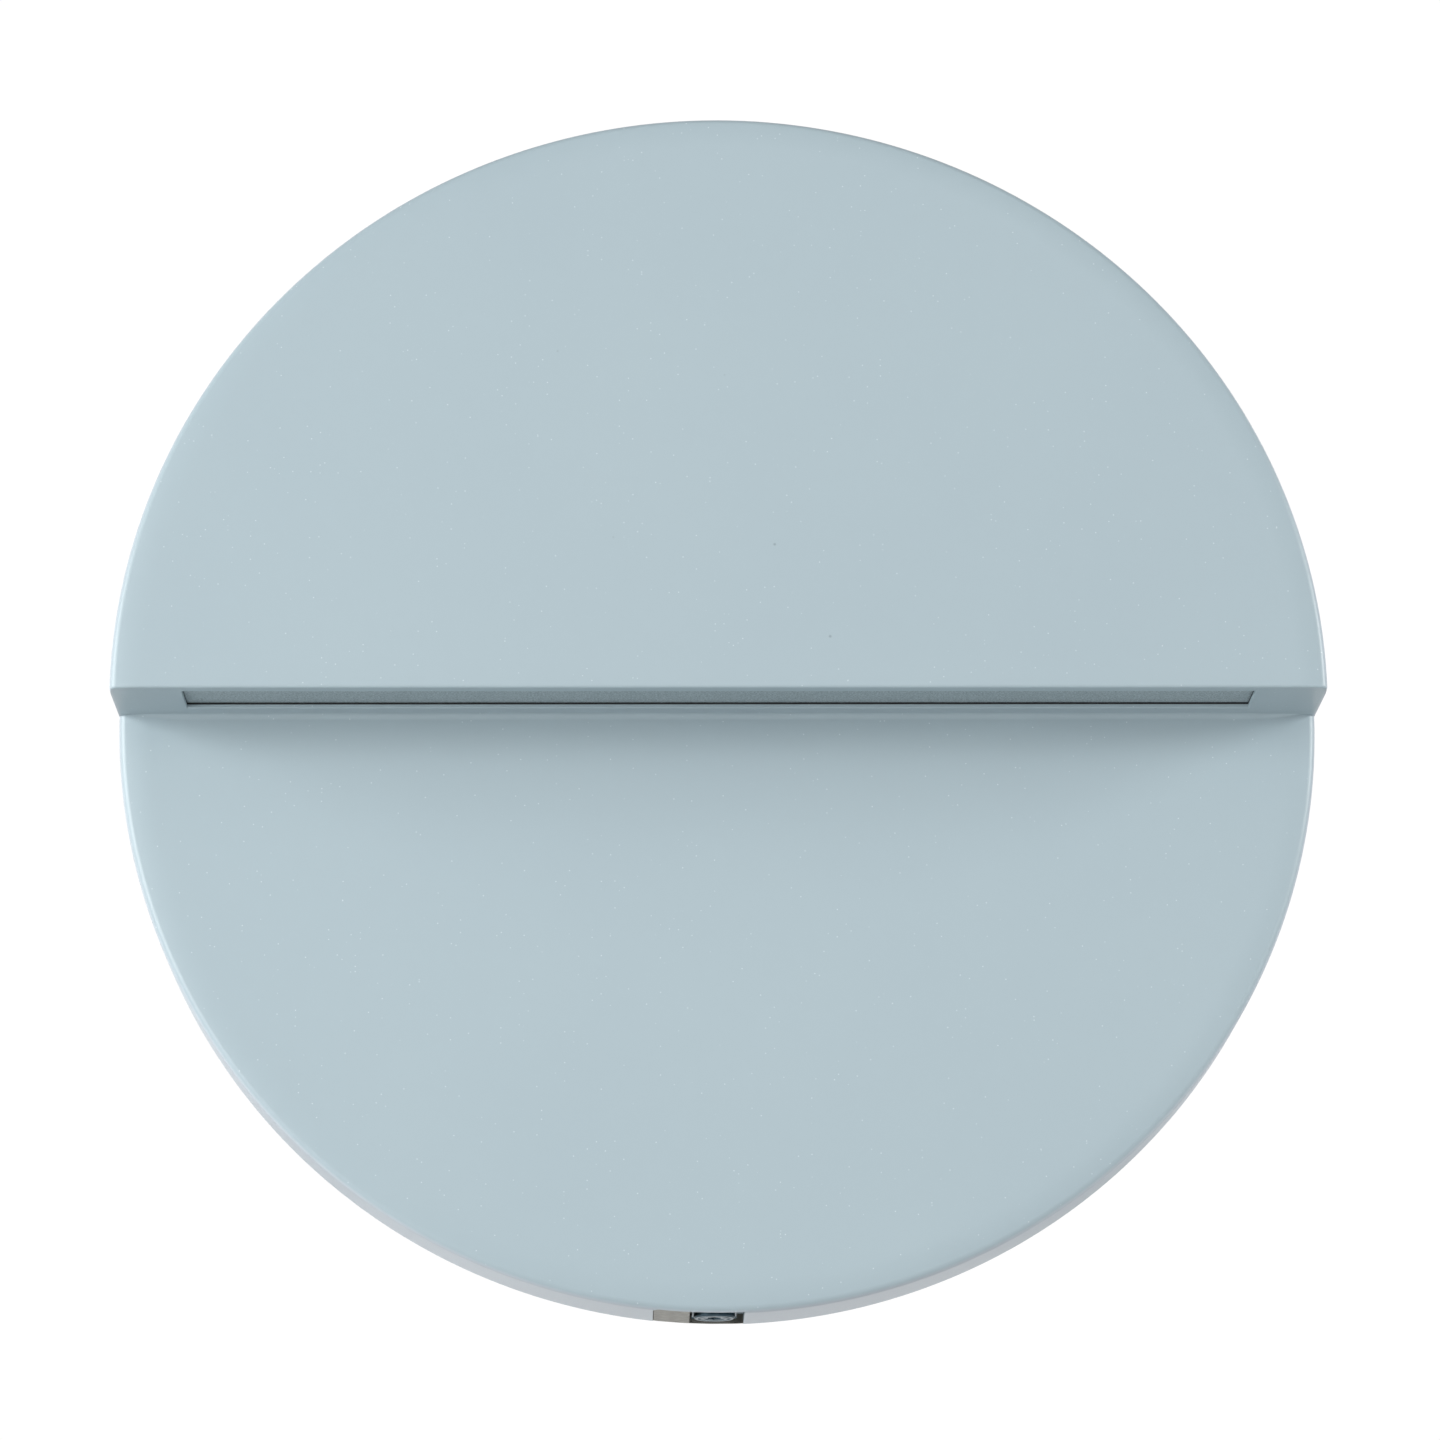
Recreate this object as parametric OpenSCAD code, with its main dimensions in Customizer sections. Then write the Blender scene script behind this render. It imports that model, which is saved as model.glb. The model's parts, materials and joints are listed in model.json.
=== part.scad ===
// Half-moon wall light: a cast cover over a back plate, with a light engine in its hood.
// Every sub-part is drawn lying on the wall: x to the right, y up, z out of the wall.
// on_wall() then stands it up, so that the wall is the plane y = 0 and the light faces -Y.

/* [Cover] */
// Diameter of the cover
cover_d = 200; // [170:1:240]
// Height of the lower face above the wall
lower_h = 14.8; // [14:0.1:20]
// Step from the lower face to the hood's face
step_h = 17.2; // [16.5:0.1:24]
// Height of the step's underside above the disc's centre
step_y = 0.3; // [0:0.1:2]
// Wall thickness of the casting
cover_wall = 2.2; // [1.8:0.1:3]
// Radius of the cover's outer edge
edge_r = 1.4; // [0.6:0.1:1.8]
// Gap between the rim's back edge and the wall
wall_gap = 0.6; // [0.3:0.1:1]

/* [Light slot] */
// Length of the slot in the step
slot_l = 176.5; // [140:0.5:178]
// Width of the slot
slot_w = 10.6; // [8:0.1:11]
// Strip of step left in front of the slot
slot_front = 2.5; // [2.4:0.1:3.5]
// Thickness of the lip around the slot
slot_lip = 0.6; // [0.5:0.1:0.8]
// Width of the ledge that the seal lies on
ledge_w = 2.0; // [1.5:0.1:2.2]
// Thickness of the diffuser's seal
seal_t = 0.35; // [0.3:0.05:0.6]
// Thickness of the diffuser
diffuser_t = 3.0; // [2:0.1:4]

/* [Light engine] */
// Wall thickness of the bracket's channel
channel_wall = 1.5; // [1.2:0.1:2]
// Inner height of the channel above the diffuser
channel_h = 12; // [10:0.5:14]
// Height of the fixing flange above the channel
flange_h = 13; // [12:0.5:15]
// Number of LED chips
chip_count = 24; // [12:2:30]
// Thickness of the LED board
board_t = 1.2; // [1:0.1:1.6]
// Thickness of the thermal pad
pad_t = 0.3; // [0.2:0.05:0.5]

/* [Back plate] */
// Thickness of the back plate's floor
plate_t = 2.5; // [2.2:0.1:3.5]
// Gap between the plate's floor and the cover's rim
plate_gap = 0.5; // [0.3:0.1:1]
// Height of the flange above the wall
flange_top = 9.5; // [9:0.5:11]
// Wall thickness of the flange
flange_wall = 2.6; // [2.4:0.1:3]
// Distance between the wall-screw slots
slot_spacing = 120; // [90:1:130]
// Length of a wall-screw slot
screw_slot_l = 12; // [8:0.5:16]
// Width of a wall-screw slot
screw_slot_w = 4.8; // [4:0.1:5.5]
// Bore of the cable grommet
cable_d = 8.0; // [6:0.1:9]

/* [Lock] */
// Sideways place of the locking screw
screw_x = -0.95; // [-1.5:0.05:0]
// Sideways place of the rim's notch
notch_x = -4.55; // [-5:0.05:-4]
// Width of the rim's notch
notch_w = 12.9; // [11:0.1:16]
// Skin left between the notch and the lower face
notch_skin = 1.2; // [1:0.1:1.5]
// Diameter of the locking screw's thread
screw_d = 4; // [3:0.5:4]
// Diameter of the locking screw's flat head
lock_head_d = 6.8; // [6:0.1:7]
// Thickness of the locking screw's head
lock_head_h = 0.85; // [0.7:0.05:1]
// Thickness of the lock plate under the screw's head
lock_plate_t = 0.8; // [0.6:0.1:1]
// Running clearance, radial, round the screw and the guide pins
run_gap = 0.05; // [0.02:0.01:0.08]

/* [Driver] */
// Length of the driver's case
driver_l = 86; // [70:1:88]
// Width of the driver's case
driver_w = 34; // [28:1:35]
// Height of the driver's case with its lid
driver_h = 21; // [19:0.5:23]
// Wall thickness of the driver's case
driver_wall = 1.6; // [1.4:0.1:2]
// Height of the case's lower edge above the disc's centre
driver_y = 47; // [46:0.5:48]

/* [Hidden] */
$fn = 96;
tiny = 0.01;

// Cover
cover_r = cover_d / 2;
inner_r = cover_r - cover_wall;
hood_h = lower_h + step_h;
hood_in = hood_h - cover_wall;
lower_in = lower_h - cover_wall;

// Slot, ledge and diffuser, in heights above the wall (z) and above the centre (y)
slot_z1 = hood_h - slot_front;
slot_z0 = slot_z1 - slot_w;
ledge_z0 = slot_z0 - ledge_w;
ledge_y = step_y + slot_lip;
side_gap = 0.15;
optic_l = slot_l + 2 * ledge_w - 2 * side_gap;
optic_z0 = ledge_z0 + side_gap;
optic_z1 = hood_in - side_gap;
optic_w = optic_z1 - optic_z0;
diffuser_y = ledge_y + seal_t;
channel_y = diffuser_y + diffuser_t;
roof_y = channel_y + channel_h;
roof_top = roof_y + channel_wall;
channel_over = 1.7;
channel_l = optic_l + 2 * channel_over;
cap_t = 1.5;
cap_tab_l = 2;
cap_tab_w = 6;
cap_tab_z0 = 3.5;
cap_tab_t = 1.3;

// Bracket flange, its bosses and screws
boss_h = 4;
web_z1 = hood_in - boss_h;
web_z0 = web_z1 - channel_wall;
web_top = roof_top + flange_h;
boss_up = 7.6;
boss_y = roof_top + boss_up;
boss_r = 3.4;
bracket_x = [-70, 0, 70];
m3_r = 1.5;
screw_head_r = 2.8;
screw_head_h = 1.9;
slot_in_head = 0.6;
rib_t = 1;
rib_h = 3;
rib_to_lead = 3.3;

// LED board
board_w = 7.6;
board_l = channel_l - 11;
pad_l = board_l - 14;
reflector_lip = 0.7;
board_z = (optic_z0 + optic_z1) / 2;
board_y0 = roof_y - pad_t - board_t;
chip_size = 2.8;
chip_h = 0.7;
chip_row_end = 8;
chip_pitch = (board_l - 2 * chip_row_end) / (chip_count - 1);

// Back plate
plate_r = inner_r - plate_gap;
flange_r = inner_r - 1.6;
groove_w = 3;
groove_d = 0.9;
groove_z = 5.2;
seal_gap = 0.15;
lock_open = 14;
gasket_r1 = plate_r - 3.3;
gasket_r0 = gasket_r1 - 6;
gasket_d = 1;
floor_skin = 0.8;
rib_turns = [205, 240, 300, 335];
rib_in = 16;
rib_w = 1.8;
floor_rib_h = 2.5;

// Cable grommet
grommet_r = cable_d / 2 + 3;
grommet_flange_r = grommet_r + 2.5;
grommet_flange_t = 1;
grommet_tip_r = cable_d / 2 + 1.5;
grommet_tip_h = 4;
grommet_lip_t = 1.5;
collar_r = 12.5;
collar_r0 = 11;
collar_h = 1.5;

// Guide pins
guide_x = 72;
guide_y = 38;
guide_r = 2;
guide_post_r = 4.5;
guide_boss_h = 7;
guide_top = 16;
guide_rest = 0.3;
guide_bore_top = guide_top + 1.5;
guide_foot = 1;
guide_taper = 0.8;
guide_taper_h = 1;

// Lock: the back plate's tongue fills the rim's notch. The screw's lock plate laps over the
// notch's right edge in a shallow seat, and a thin lip closes the notch towards the wall.
notch_r = notch_w / 2;
notch_top = lower_h - notch_skin;
notch_corner = 1;
notch_in = inner_r - 5;
screw_z = notch_top / 2 + 0.4;
tongue_gap = 0.1;
tongue_out = cover_r - 0.2;
tongue_in = flange_r - flange_wall - 6;
tongue_play = 0.5;
tongue_step = norm([notch_x - notch_r, notch_in]) + 0.2;
lip_t = wall_gap - 0.2;
lip_reach = 3;
head_out = cover_r - 0.05;
head_in = head_out - lock_head_h;
lock_lap = 0.9;
lock_plate_w = 2 * (notch_x + notch_r + lock_lap - screw_x);
lock_plate_in = head_in - lock_plate_t;
lock_plate_z0 = 0.8;
lock_plate_z1 = notch_top - 0.3;
seat_gap = 0.1;
seat_in = lock_plate_in - seat_gap;
seat_x = screw_x + lock_plate_w / 2 + 1.1;
lock_tip = tongue_in + 2.5;
lock_socket_r = 1.25;
lock_socket_floor = 0.3;

// Driver
driver_x = driver_l / 2;
lid_t = 1.8;
ear_l = 10;
ear_w = 12;
ear_t = 2.4;
driver_top = plate_t + driver_h;
driver_mid = driver_y + driver_w / 2;
case_top = driver_top - lid_t;
case_in_l = driver_l - 2 * driver_wall;
case_in_w = driver_w - 2 * driver_wall;
lid_rim_gap = 0.1;
lid_rim_t = 1.45;
lid_rim_h = 2;
ear_x = driver_x + ear_l / 2;
board_gap = 0.4;
driver_board_z = plate_t + driver_wall + 3;
driver_board_t = 1.6;
driver_board_top = driver_board_z + driver_board_t;
transformer_x = 8;
capacitor_x = -24;
small_capacitor_x = -12;

// Terminal block: earth, neutral and live from left to right
pole_pitch = 10;
pole_x = [-pole_pitch, 0, pole_pitch];
block_l = 32;
block_y0 = 22;
block_y1 = 40;
block_h = 11;
block_mid = (block_y0 + block_y1) / 2;
wire_z = plate_t + 5.6;
clamp_r = 2.6;
clamp_bore = 1.7;
clamp_end = 2;
terminal_screw_r = 1.5;
terminal_screw_top = 1.4;
terminal_screw_tip = wire_z + 1.2;
terminal_hole_r = 2.1;
terminal_screw_y = 5;
fix_floor = 5;
fix_x = pole_pitch / 2;
fix_r = 1.25;
fix_head_r = 2.2;

// Earth connection on the plate
earth_x = -34;
earth_y = 27;
earth_boss_r = 4.5;
earth_boss_h = 3;
earth_top = plate_t + earth_boss_h;
earth_screw_r = 2;
earth_hole_r = 2.1;
ring_t = 0.8;
washer_t = 0.8;

// Plug and socket
plug_x = 50;
plug_y = boss_y;
plug_l = 12;
plug_w = 8;
nose_l = 8.6;
nose_w = 4.6;
nose_gap = 0.25;
pin_l = 4;
socket_back = web_z0;
socket_front = socket_back - 8;
plug_top = socket_front - 0.3;
plug_base = 9;
nose_top = socket_back - 2.3;
pin_x = 2;
pin_r = 0.5;

// Leads
mains_r = 1.1;
low_r = 0.75;
lead_hole_r = low_r + 0.25;
lead_x = channel_l / 2 - 8.5;
lead_z = web_z0 - low_r - 0.2;
lead_pair_x = 1.5;
output_x = 33;
output_z = 12.5;

// ---------- helpers ----------

// Stands up what is drawn lying on the wall.
module on_wall() rotate([90, 0, 0]) children();

// A block from one corner to the other.
module block(from, to) translate(from) cube(to - from);

// Points a cylinder drawn along +z outwards along -y, the radius at the bottom of the disc.
module down_radius(x, z, from) translate([x, -from, z]) rotate([90, 0, 0]) children();

// A flat plate with round corners, centred in x and y.
module round_plate(l, w, r, h) linear_extrude(h) {
  square([l - 2 * r, w], center = true);
  square([l, w - 2 * r], center = true);
  for (x = [-1, 1], y = [-1, 1]) translate([x * (l / 2 - r), y * (w / 2 - r)]) circle(r);
}

// A slot with round ends, long in x.
module round_slot(l, w, h) linear_extrude(h) {
  square([l - w, w], center = true);
  for (x = [-1, 1]) translate([x * (l - w) / 2, 0]) circle(w / 2);
}

// Half section of a disc whose front edge is rounded.
module disc_section(r, h, edge) {
  translate([0, wall_gap]) square([r - edge, h - wall_gap]);
  translate([0, wall_gap]) square([r, h - wall_gap - edge]);
  translate([r - edge, h - edge]) circle(edge);
}

// A ring with a square section.
module ring(r1, r0, z0, z1) translate([0, 0, z0]) difference() {
  cylinder(r = r1, h = z1 - z0);
  translate([0, 0, -1]) cylinder(r = r0, h = z1 - z0 + 2);
}

// A pan-head screw along -z: its head stands on the origin's plane and its shank goes below it.
module pan_screw(shank_r, shank_l, head_r, head_h) difference() {
  union() {
    translate([0, 0, -shank_l]) cylinder(r = shank_r, h = shank_l + tiny);
    cylinder(r = head_r, h = head_h - 0.5);
    translate([0, 0, head_h - 0.5]) cylinder(r1 = head_r, r2 = head_r - 0.6, h = 0.5);
  }
  for (turn = [0, 90]) rotate([0, 0, turn])
    translate([-head_r * 0.6, -slot_in_head / 2, head_h - 0.9])
      cube([head_r * 1.2, slot_in_head, 2]);
}

function unit(v) = v / norm(v);
function square_to(side, along) = unit(side - (side * along) * along);
function between(a, b, c, d, t) = 0.5 * (2 * b + (c - a) * t + (2 * a - 5 * b + 4 * c - d) * t * t
  + (3 * b - a - 3 * c + d) * t * t * t);
function route_part(p, i, steps) = [for (s = [0:steps - 1])
  between(p[max(i - 1, 0)], p[i], p[i + 1], p[min(i + 2, len(p) - 1)], s / steps)];
function route(p, steps) = concat([for (i = [0:len(p) - 2]) each route_part(p, i, steps)],
  [p[len(p) - 1]]);
function headings(path, ends) = [for (i = [0:len(path) - 1]) i == 0 ? unit(ends[1] - ends[0]) :
  i == len(path) - 1 ? unit(ends[len(ends) - 1] - ends[len(ends) - 2]) :
  unit(path[i + 1] - path[i - 1])];
function sides(along, i, last) = i >= len(along) ? [] :
  let(side = square_to(last, along[i])) concat([side], sides(along, i + 1, side));

// A round lead that follows a route of hand-set points.
module lead(points, r, start = [1, 0, 0], n = 10) {
  path = route(points, 4);
  along = headings(path, points);
  side = sides(along, 0, start);
  rings = [for (i = [0:len(path) - 1], k = [0:n - 1])
    path[i] + r * (cos(360 * k / n) * side[i] + sin(360 * k / n) * cross(along[i], side[i]))];
  last = (len(path) - 1) * n;
  walls = [for (i = [0:len(path) - 2], k = [0:n - 1])
    [i * n + k, (i + 1) * n + k, (i + 1) * n + (k + 1) % n, i * n + (k + 1) % n]];
  first_end = [for (k = [0:n - 1]) k];
  last_end = [for (k = [n - 1:-1:0]) last + k];
  polyhedron(rings, concat([first_end], walls, [last_end]));
}

// ---------- cover ----------

module cover_outside() {
  intersection() {
    rotate_extrude() intersection() {
      disc_section(cover_r, hood_h, edge_r);
      square([cover_r, hood_h]);
    }
    block([-cover_r - 1, step_y, 0], [cover_r + 1, cover_r + 1, hood_h + 1]);
  }
  rotate_extrude() intersection() {
    disc_section(cover_r, lower_h, edge_r);
    square([cover_r, lower_h]);
  }
}

module cover_inside() {
  cylinder(r = inner_r, h = lower_in);
  intersection() {
    cylinder(r = inner_r, h = hood_in);
    block([-cover_r, step_y + cover_wall, -1], [cover_r, cover_r, hood_h]);
  }
}

module slot_and_ledge() {
  block([-slot_l / 2, step_y - 1, slot_z0], [slot_l / 2, step_y + cover_wall + 1, slot_z1]);
  block([-slot_l / 2 - ledge_w, ledge_y, ledge_z0],
    [slot_l / 2 + ledge_w, step_y + cover_wall + 1, hood_in]);
}

// The notch's outline, open towards the wall, pushed out along the radius.
module notch_prism(grow, from, to) down_radius(notch_x, 0, from) linear_extrude(to - from) {
  half = notch_r + grow;
  top = notch_top + grow;
  translate([-half, -1]) square([2 * half, top - notch_corner + 1]);
  translate([-half + notch_corner, -1]) square([2 * (half - notch_corner), top + 1]);
  for (x = [-1, 1]) translate([x * (half - notch_corner), top - notch_corner])
    circle(notch_corner);
}

// The seat in the rim's outside that lets the lock plate lap over the notch's edge.
module lock_seat() block([notch_x, -cover_r - 1, -1], [seat_x, -seat_in, notch_top]);

module front_cover() color("lightsteelblue") on_wall() difference() {
  union() {
    difference() {
      cover_outside();
      cover_inside();
    }
    for (x = bracket_x) translate([x, boss_y, web_z1]) cylinder(r = boss_r, h = boss_h + 1);
    for (x = [-1, 1]) translate([x * guide_x, guide_y, guide_boss_h + guide_rest])
      cylinder(r = guide_post_r, h = hood_in - guide_boss_h);
  }
  slot_and_ledge();
  for (x = bracket_x) translate([x, boss_y, web_z1 - 1]) cylinder(r = m3_r, h = boss_h + 1);
  for (x = [-1, 1]) translate([x * guide_x, guide_y, guide_boss_h])
    cylinder(r = guide_r + run_gap, h = guide_bore_top - guide_boss_h);
  notch_prism(0, notch_in, cover_r + 1);
  lock_seat();
}

module diffuser() color("whitesmoke") on_wall()
  block([-optic_l / 2, diffuser_y, optic_z0], [optic_l / 2, channel_y, optic_z1]);

module diffuser_seal() color("dimgray") on_wall() difference() {
  block([-optic_l / 2, ledge_y, optic_z0], [optic_l / 2, diffuser_y, optic_z1]);
  block([-slot_l / 2, ledge_y - 1, slot_z0], [slot_l / 2, diffuser_y + 1, slot_z1 - 0.3]);
}

// Cross-section of the bracket, drawn as (z, y).
module bracket_section() {
  difference() {
    translate([optic_z0, channel_y]) square([optic_w, roof_top - channel_y]);
    translate([optic_z0 + channel_wall, channel_y - 1])
      square([optic_w - 2 * channel_wall, channel_h + 1]);
  }
  translate([web_z0, roof_y]) square([channel_wall, web_top - roof_y]);
  for (z = [optic_z0, lead_z - rib_to_lead]) translate([z, roof_y])
    square([rib_t, channel_wall + rib_h]);
}

// Extrudes a (z, y) cross-section along x, centred.
module along_x(l) translate([-l / 2, 0, 0]) mirror([1, 0, -1]) linear_extrude(l) children();

module led_bracket() color("silver") on_wall() difference() {
  along_x(channel_l) bracket_section();
  for (x = bracket_x) translate([x, boss_y, web_z0 - 1]) cylinder(r = m3_r, h = channel_wall + 2);
  for (x = [-1, 1]) translate([lead_x + x * lead_pair_x, roof_y - 1, lead_z])
    rotate([-90, 0, 0]) cylinder(r = lead_hole_r, h = channel_wall + 2);
}

module bracket_end_caps() color("white") on_wall() for (side = [-1, 1])
  translate([side * (channel_l + cap_t) / 2, 0, 0]) {
    block([-cap_t / 2, channel_y, optic_z0], [cap_t / 2, roof_top, optic_z1]);
    tab_end = -side * (cap_t / 2 + cap_tab_l);
    block([min(0, tab_end), roof_y - cap_tab_z0, board_z - cap_tab_w / 2],
      [max(0, tab_end), roof_y - cap_tab_z0 + cap_tab_t, board_z + cap_tab_w / 2]);
  }

module reflector() color("white") on_wall() {
  inner = optic_w / 2 - channel_wall;
  for (flip = [0, 1]) translate([0, 0, board_z]) mirror([0, 0, flip]) along_x(board_l)
    polygon([[inner, channel_y], [inner, board_y0], [board_w / 2, board_y0],
      [inner - reflector_lip, channel_y]]);
}

module thermal_pad() color("lightpink") on_wall() block(
  [-pad_l / 2, roof_y - pad_t, board_z - board_w / 2], [pad_l / 2, roof_y, board_z + board_w / 2]);

module led_board() color("ivory") on_wall() block(
  [-board_l / 2, board_y0, board_z - board_w / 2],
  [board_l / 2, board_y0 + board_t, board_z + board_w / 2]);

module led_chips() color("khaki") on_wall() for (i = [0:chip_count - 1])
  translate([(i - (chip_count - 1) / 2) * chip_pitch, board_y0 - chip_h / 2, board_z])
    cube([chip_size, chip_h, chip_size], center = true);

module bracket_screws() color("lightgray") on_wall() for (x = bracket_x)
  translate([x, boss_y, web_z0]) mirror([0, 0, 1])
    pan_screw(m3_r, channel_wall + boss_h - 0.4, screw_head_r, screw_head_h);

module led_socket() color("white") on_wall() difference() {
  translate([plug_x, plug_y, socket_front])
    round_plate(plug_l, plug_w, 0.6, socket_back - socket_front);
  translate([plug_x, plug_y, socket_front - 1])
    linear_extrude(nose_top + nose_gap - socket_front + 1)
      square([nose_l + 2 * nose_gap, nose_w + 2 * nose_gap], center = true);
}

module socket_pins() color("gold") on_wall() for (x = [-1, 1])
  translate([plug_x + x * pin_x, plug_y, nose_top + nose_gap - pin_l])
    cylinder(r = pin_r, h = pin_l);

// From the socket's side along the top of the channel and down through its roof to the board.
module led_lead(shift, rise) {
  side_x = plug_x + plug_l / 2;
  side_y = plug_y + shift;
  side_z = socket_front + rise;
  hole_x = lead_x + shift * lead_pair_x;
  lead([[side_x, side_y, side_z], [side_x + 4, side_y, side_z],
    [side_x + 10, side_y - 1, side_z + 1],
    [hole_x - 4, roof_top + 4 + shift, lead_z], [hole_x, roof_top + 3, lead_z],
    [hole_x, roof_top, lead_z], [hole_x, board_y0 + board_t, lead_z]], low_r, [0, 0, 1]);
}

module led_lead_positive() color("red") on_wall() led_lead(1, 2);

module led_lead_negative() color("black") on_wall() led_lead(-1, 2);

// ---------- back plate ----------

module flange_profile() difference() {
  translate([flange_r - flange_wall, 0]) square([flange_wall, flange_top]);
  translate([flange_r - groove_d, groove_z]) square([groove_d + 1, groove_w]);
}

module plate_solids() {
  cylinder(r = plate_r, h = plate_t);
  difference() {
    rotate_extrude() flange_profile();
    block([notch_x - lock_open, -cover_r, plate_t], [notch_x + lock_open, 0, flange_top + 1]);
  }
  for (x = [-1, 1]) translate([x * guide_x, guide_y, 0])
    cylinder(r = guide_post_r, h = guide_boss_h);
  tongue();
  translate([earth_x, earth_y, 0]) cylinder(r = earth_boss_r, h = earth_top);
  translate([plug_x, plug_y, 0]) linear_extrude(plug_base) square([plug_l, plug_w], center = true);
  ring(collar_r, collar_r0, 0, plate_t + collar_h);
  for (turn = rib_turns) rotate([0, 0, turn])
    block([rib_in, -rib_w / 2, 0], [flange_r - 1, rib_w / 2, plate_t + floor_rib_h]);
}

// The tongue that fills the rim's notch, and the lip that closes the gap round it.
module tongue() {
  intersection() {
    notch_prism(-tongue_gap, tongue_in, cover_r);
    union() {
      cylinder(r = tongue_out, h = lower_in - tongue_play);
      ring(tongue_out, tongue_step, 0, notch_top);
    }
  }
  intersection() {
    cylinder(r = tongue_out, h = lip_t);
    block([notch_x - notch_r - lip_reach, -cover_r, 0], [seat_x + lip_reach, -tongue_in, lip_t]);
  }
}

module plate_cuts() {
  for (x = [-1, 1]) translate([x * slot_spacing / 2, 0, -1])
    round_slot(screw_slot_l, screw_slot_w, plate_t + 2);
  ring(gasket_r1, gasket_r0, -1, gasket_d);
  translate([0, 0, -1]) cylinder(r = grommet_r, h = plate_t + 2);
  translate([0, 0, -1]) cylinder(r = grommet_flange_r, h = grommet_flange_t + 1);
  for (x = [-1, 1]) translate([x * guide_x, guide_y, guide_foot])
    cylinder(r = guide_r, h = guide_boss_h);
  down_radius(screw_x, screw_z, lock_tip - 1)
    cylinder(r = screw_d / 2 + run_gap, h = cover_r - lock_tip);
  block([screw_x - lock_plate_w / 2 - 0.3, -cover_r - 1, lip_t + 0.1],
    [seat_x, -lock_plate_in + 0.1, lower_h]);
  translate([earth_x, earth_y, 1]) cylinder(r = earth_screw_r, h = earth_top);
  for (x = [-1, 1]) translate([x * ear_x, driver_mid, floor_skin])
    cylinder(r = m3_r, h = plate_t);
  for (x = [-fix_x, fix_x]) translate([x, block_mid, floor_skin])
    cylinder(r = fix_r, h = plate_t);
}

module back_plate() color("gray") on_wall() difference() {
  plate_solids();
  plate_cuts();
}

module wall_gasket() color("black") on_wall() ring(gasket_r1, gasket_r0, 0, gasket_d);

// The seal stops short of the opening at the bottom, where water drains out by the notch.
module cover_seal() color("black") on_wall() difference() {
  ring(inner_r - seal_gap, flange_r - groove_d, groove_z, groove_z + groove_w);
  block([notch_x - lock_open - 1, -cover_r, 0], [notch_x + lock_open + 1, 0, flange_top + 1]);
}

module guide_pins() color("lightgray") on_wall() for (x = [-1, 1])
  translate([x * guide_x, guide_y, 0]) {
    straight = guide_top - guide_taper_h;
    translate([0, 0, guide_foot]) cylinder(r = guide_r, h = straight - guide_foot);
    translate([0, 0, straight])
      cylinder(r1 = guide_r, r2 = guide_r - guide_taper, h = guide_taper_h);
  }

module cable_grommet() color("dimgray") on_wall() difference() {
  union() {
    cylinder(r = grommet_flange_r, h = grommet_flange_t);
    cylinder(r = grommet_r, h = plate_t + tiny);
    translate([0, 0, plate_t]) cylinder(r = grommet_flange_r, h = grommet_lip_t);
    translate([0, 0, plate_t + grommet_lip_t])
      cylinder(r1 = grommet_r, r2 = grommet_tip_r, h = grommet_tip_h);
  }
  translate([0, 0, -1]) cylinder(r = cable_d / 2, h = plate_t + 7);
}

// ---------- driver ----------

module driver_case() color("white") on_wall() difference() {
  union() {
    translate([0, driver_mid, plate_t]) round_plate(driver_l, driver_w, 2, case_top - plate_t);
    for (x = [-1, 1]) translate([x * driver_x, driver_mid, plate_t])
      round_plate(2 * ear_l, ear_w, 3, ear_t);
  }
  translate([0, driver_mid, plate_t + driver_wall])
    linear_extrude(driver_h) square([case_in_l, case_in_w], center = true);
  for (x = [-1, 1]) translate([x * ear_x, driver_mid, 0]) cylinder(r = m3_r, h = 9);
}

module driver_lid() color("white") on_wall() {
  translate([0, driver_mid, case_top]) round_plate(driver_l, driver_w, 2, lid_t);
  translate([0, driver_mid, case_top - lid_rim_h]) difference() {
    linear_extrude(lid_rim_h + tiny)
      square([case_in_l - lid_rim_gap, case_in_w - lid_rim_gap], center = true);
    translate([0, 0, -1]) linear_extrude(lid_rim_h + 1)
      square([case_in_l - lid_rim_gap - 2 * lid_rim_t, case_in_w - lid_rim_gap - 2 * lid_rim_t],
        center = true);
  }
}

module driver_board() color("darkgreen") on_wall() translate([0, driver_mid, driver_board_z])
  linear_extrude(driver_board_t)
    square([case_in_l - board_gap, case_in_w - board_gap], center = true);

module driver_transformer() color("goldenrod") on_wall()
  translate([transformer_x, driver_mid, driver_board_top]) {
    round_plate(16, 14, 1, 3);
    round_plate(10, 12, 1, 9.5);
    translate([0, 0, 6.5]) round_plate(16, 14, 1, 3);
  }

module driver_capacitor() color("navy") on_wall() translate([0, driver_mid, driver_board_top]) {
  translate([capacitor_x, 0, 0]) cylinder(r = 5, h = 10);
  translate([small_capacitor_x, 0, 0]) cylinder(r = 3.2, h = 8);
}

module driver_screws() color("lightgray") on_wall() for (x = [-1, 1])
  translate([x * ear_x, driver_mid, plate_t + ear_t])
    pan_screw(m3_r, ear_t + plate_t - floor_skin, screw_head_r, screw_head_h);

// ---------- terminal block ----------

module terminal_block() color("white") on_wall() difference() {
  union() {
    block([-block_l / 2, block_y0, plate_t], [block_l / 2, block_y1, plate_t + block_h - 3]);
    for (x = pole_x) translate([x, block_mid, plate_t])
      round_plate(8.4, block_y1 - block_y0, 1, block_h);
  }
  for (x = pole_x) {
    translate([x, block_y0 - 1, wire_z]) rotate([-90, 0, 0]) cylinder(r = clamp_r, h = 30);
    for (y = [-1, 1]) translate([x, block_mid + y * terminal_screw_y, wire_z])
      cylinder(r = terminal_hole_r, h = 20);
  }
  for (x = [-fix_x, fix_x]) {
    translate([x, block_mid, 0]) cylinder(r = fix_r, h = 30);
    translate([x, block_mid, plate_t + fix_floor]) cylinder(r = fix_head_r + 0.1, h = 30);
  }
}

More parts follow.
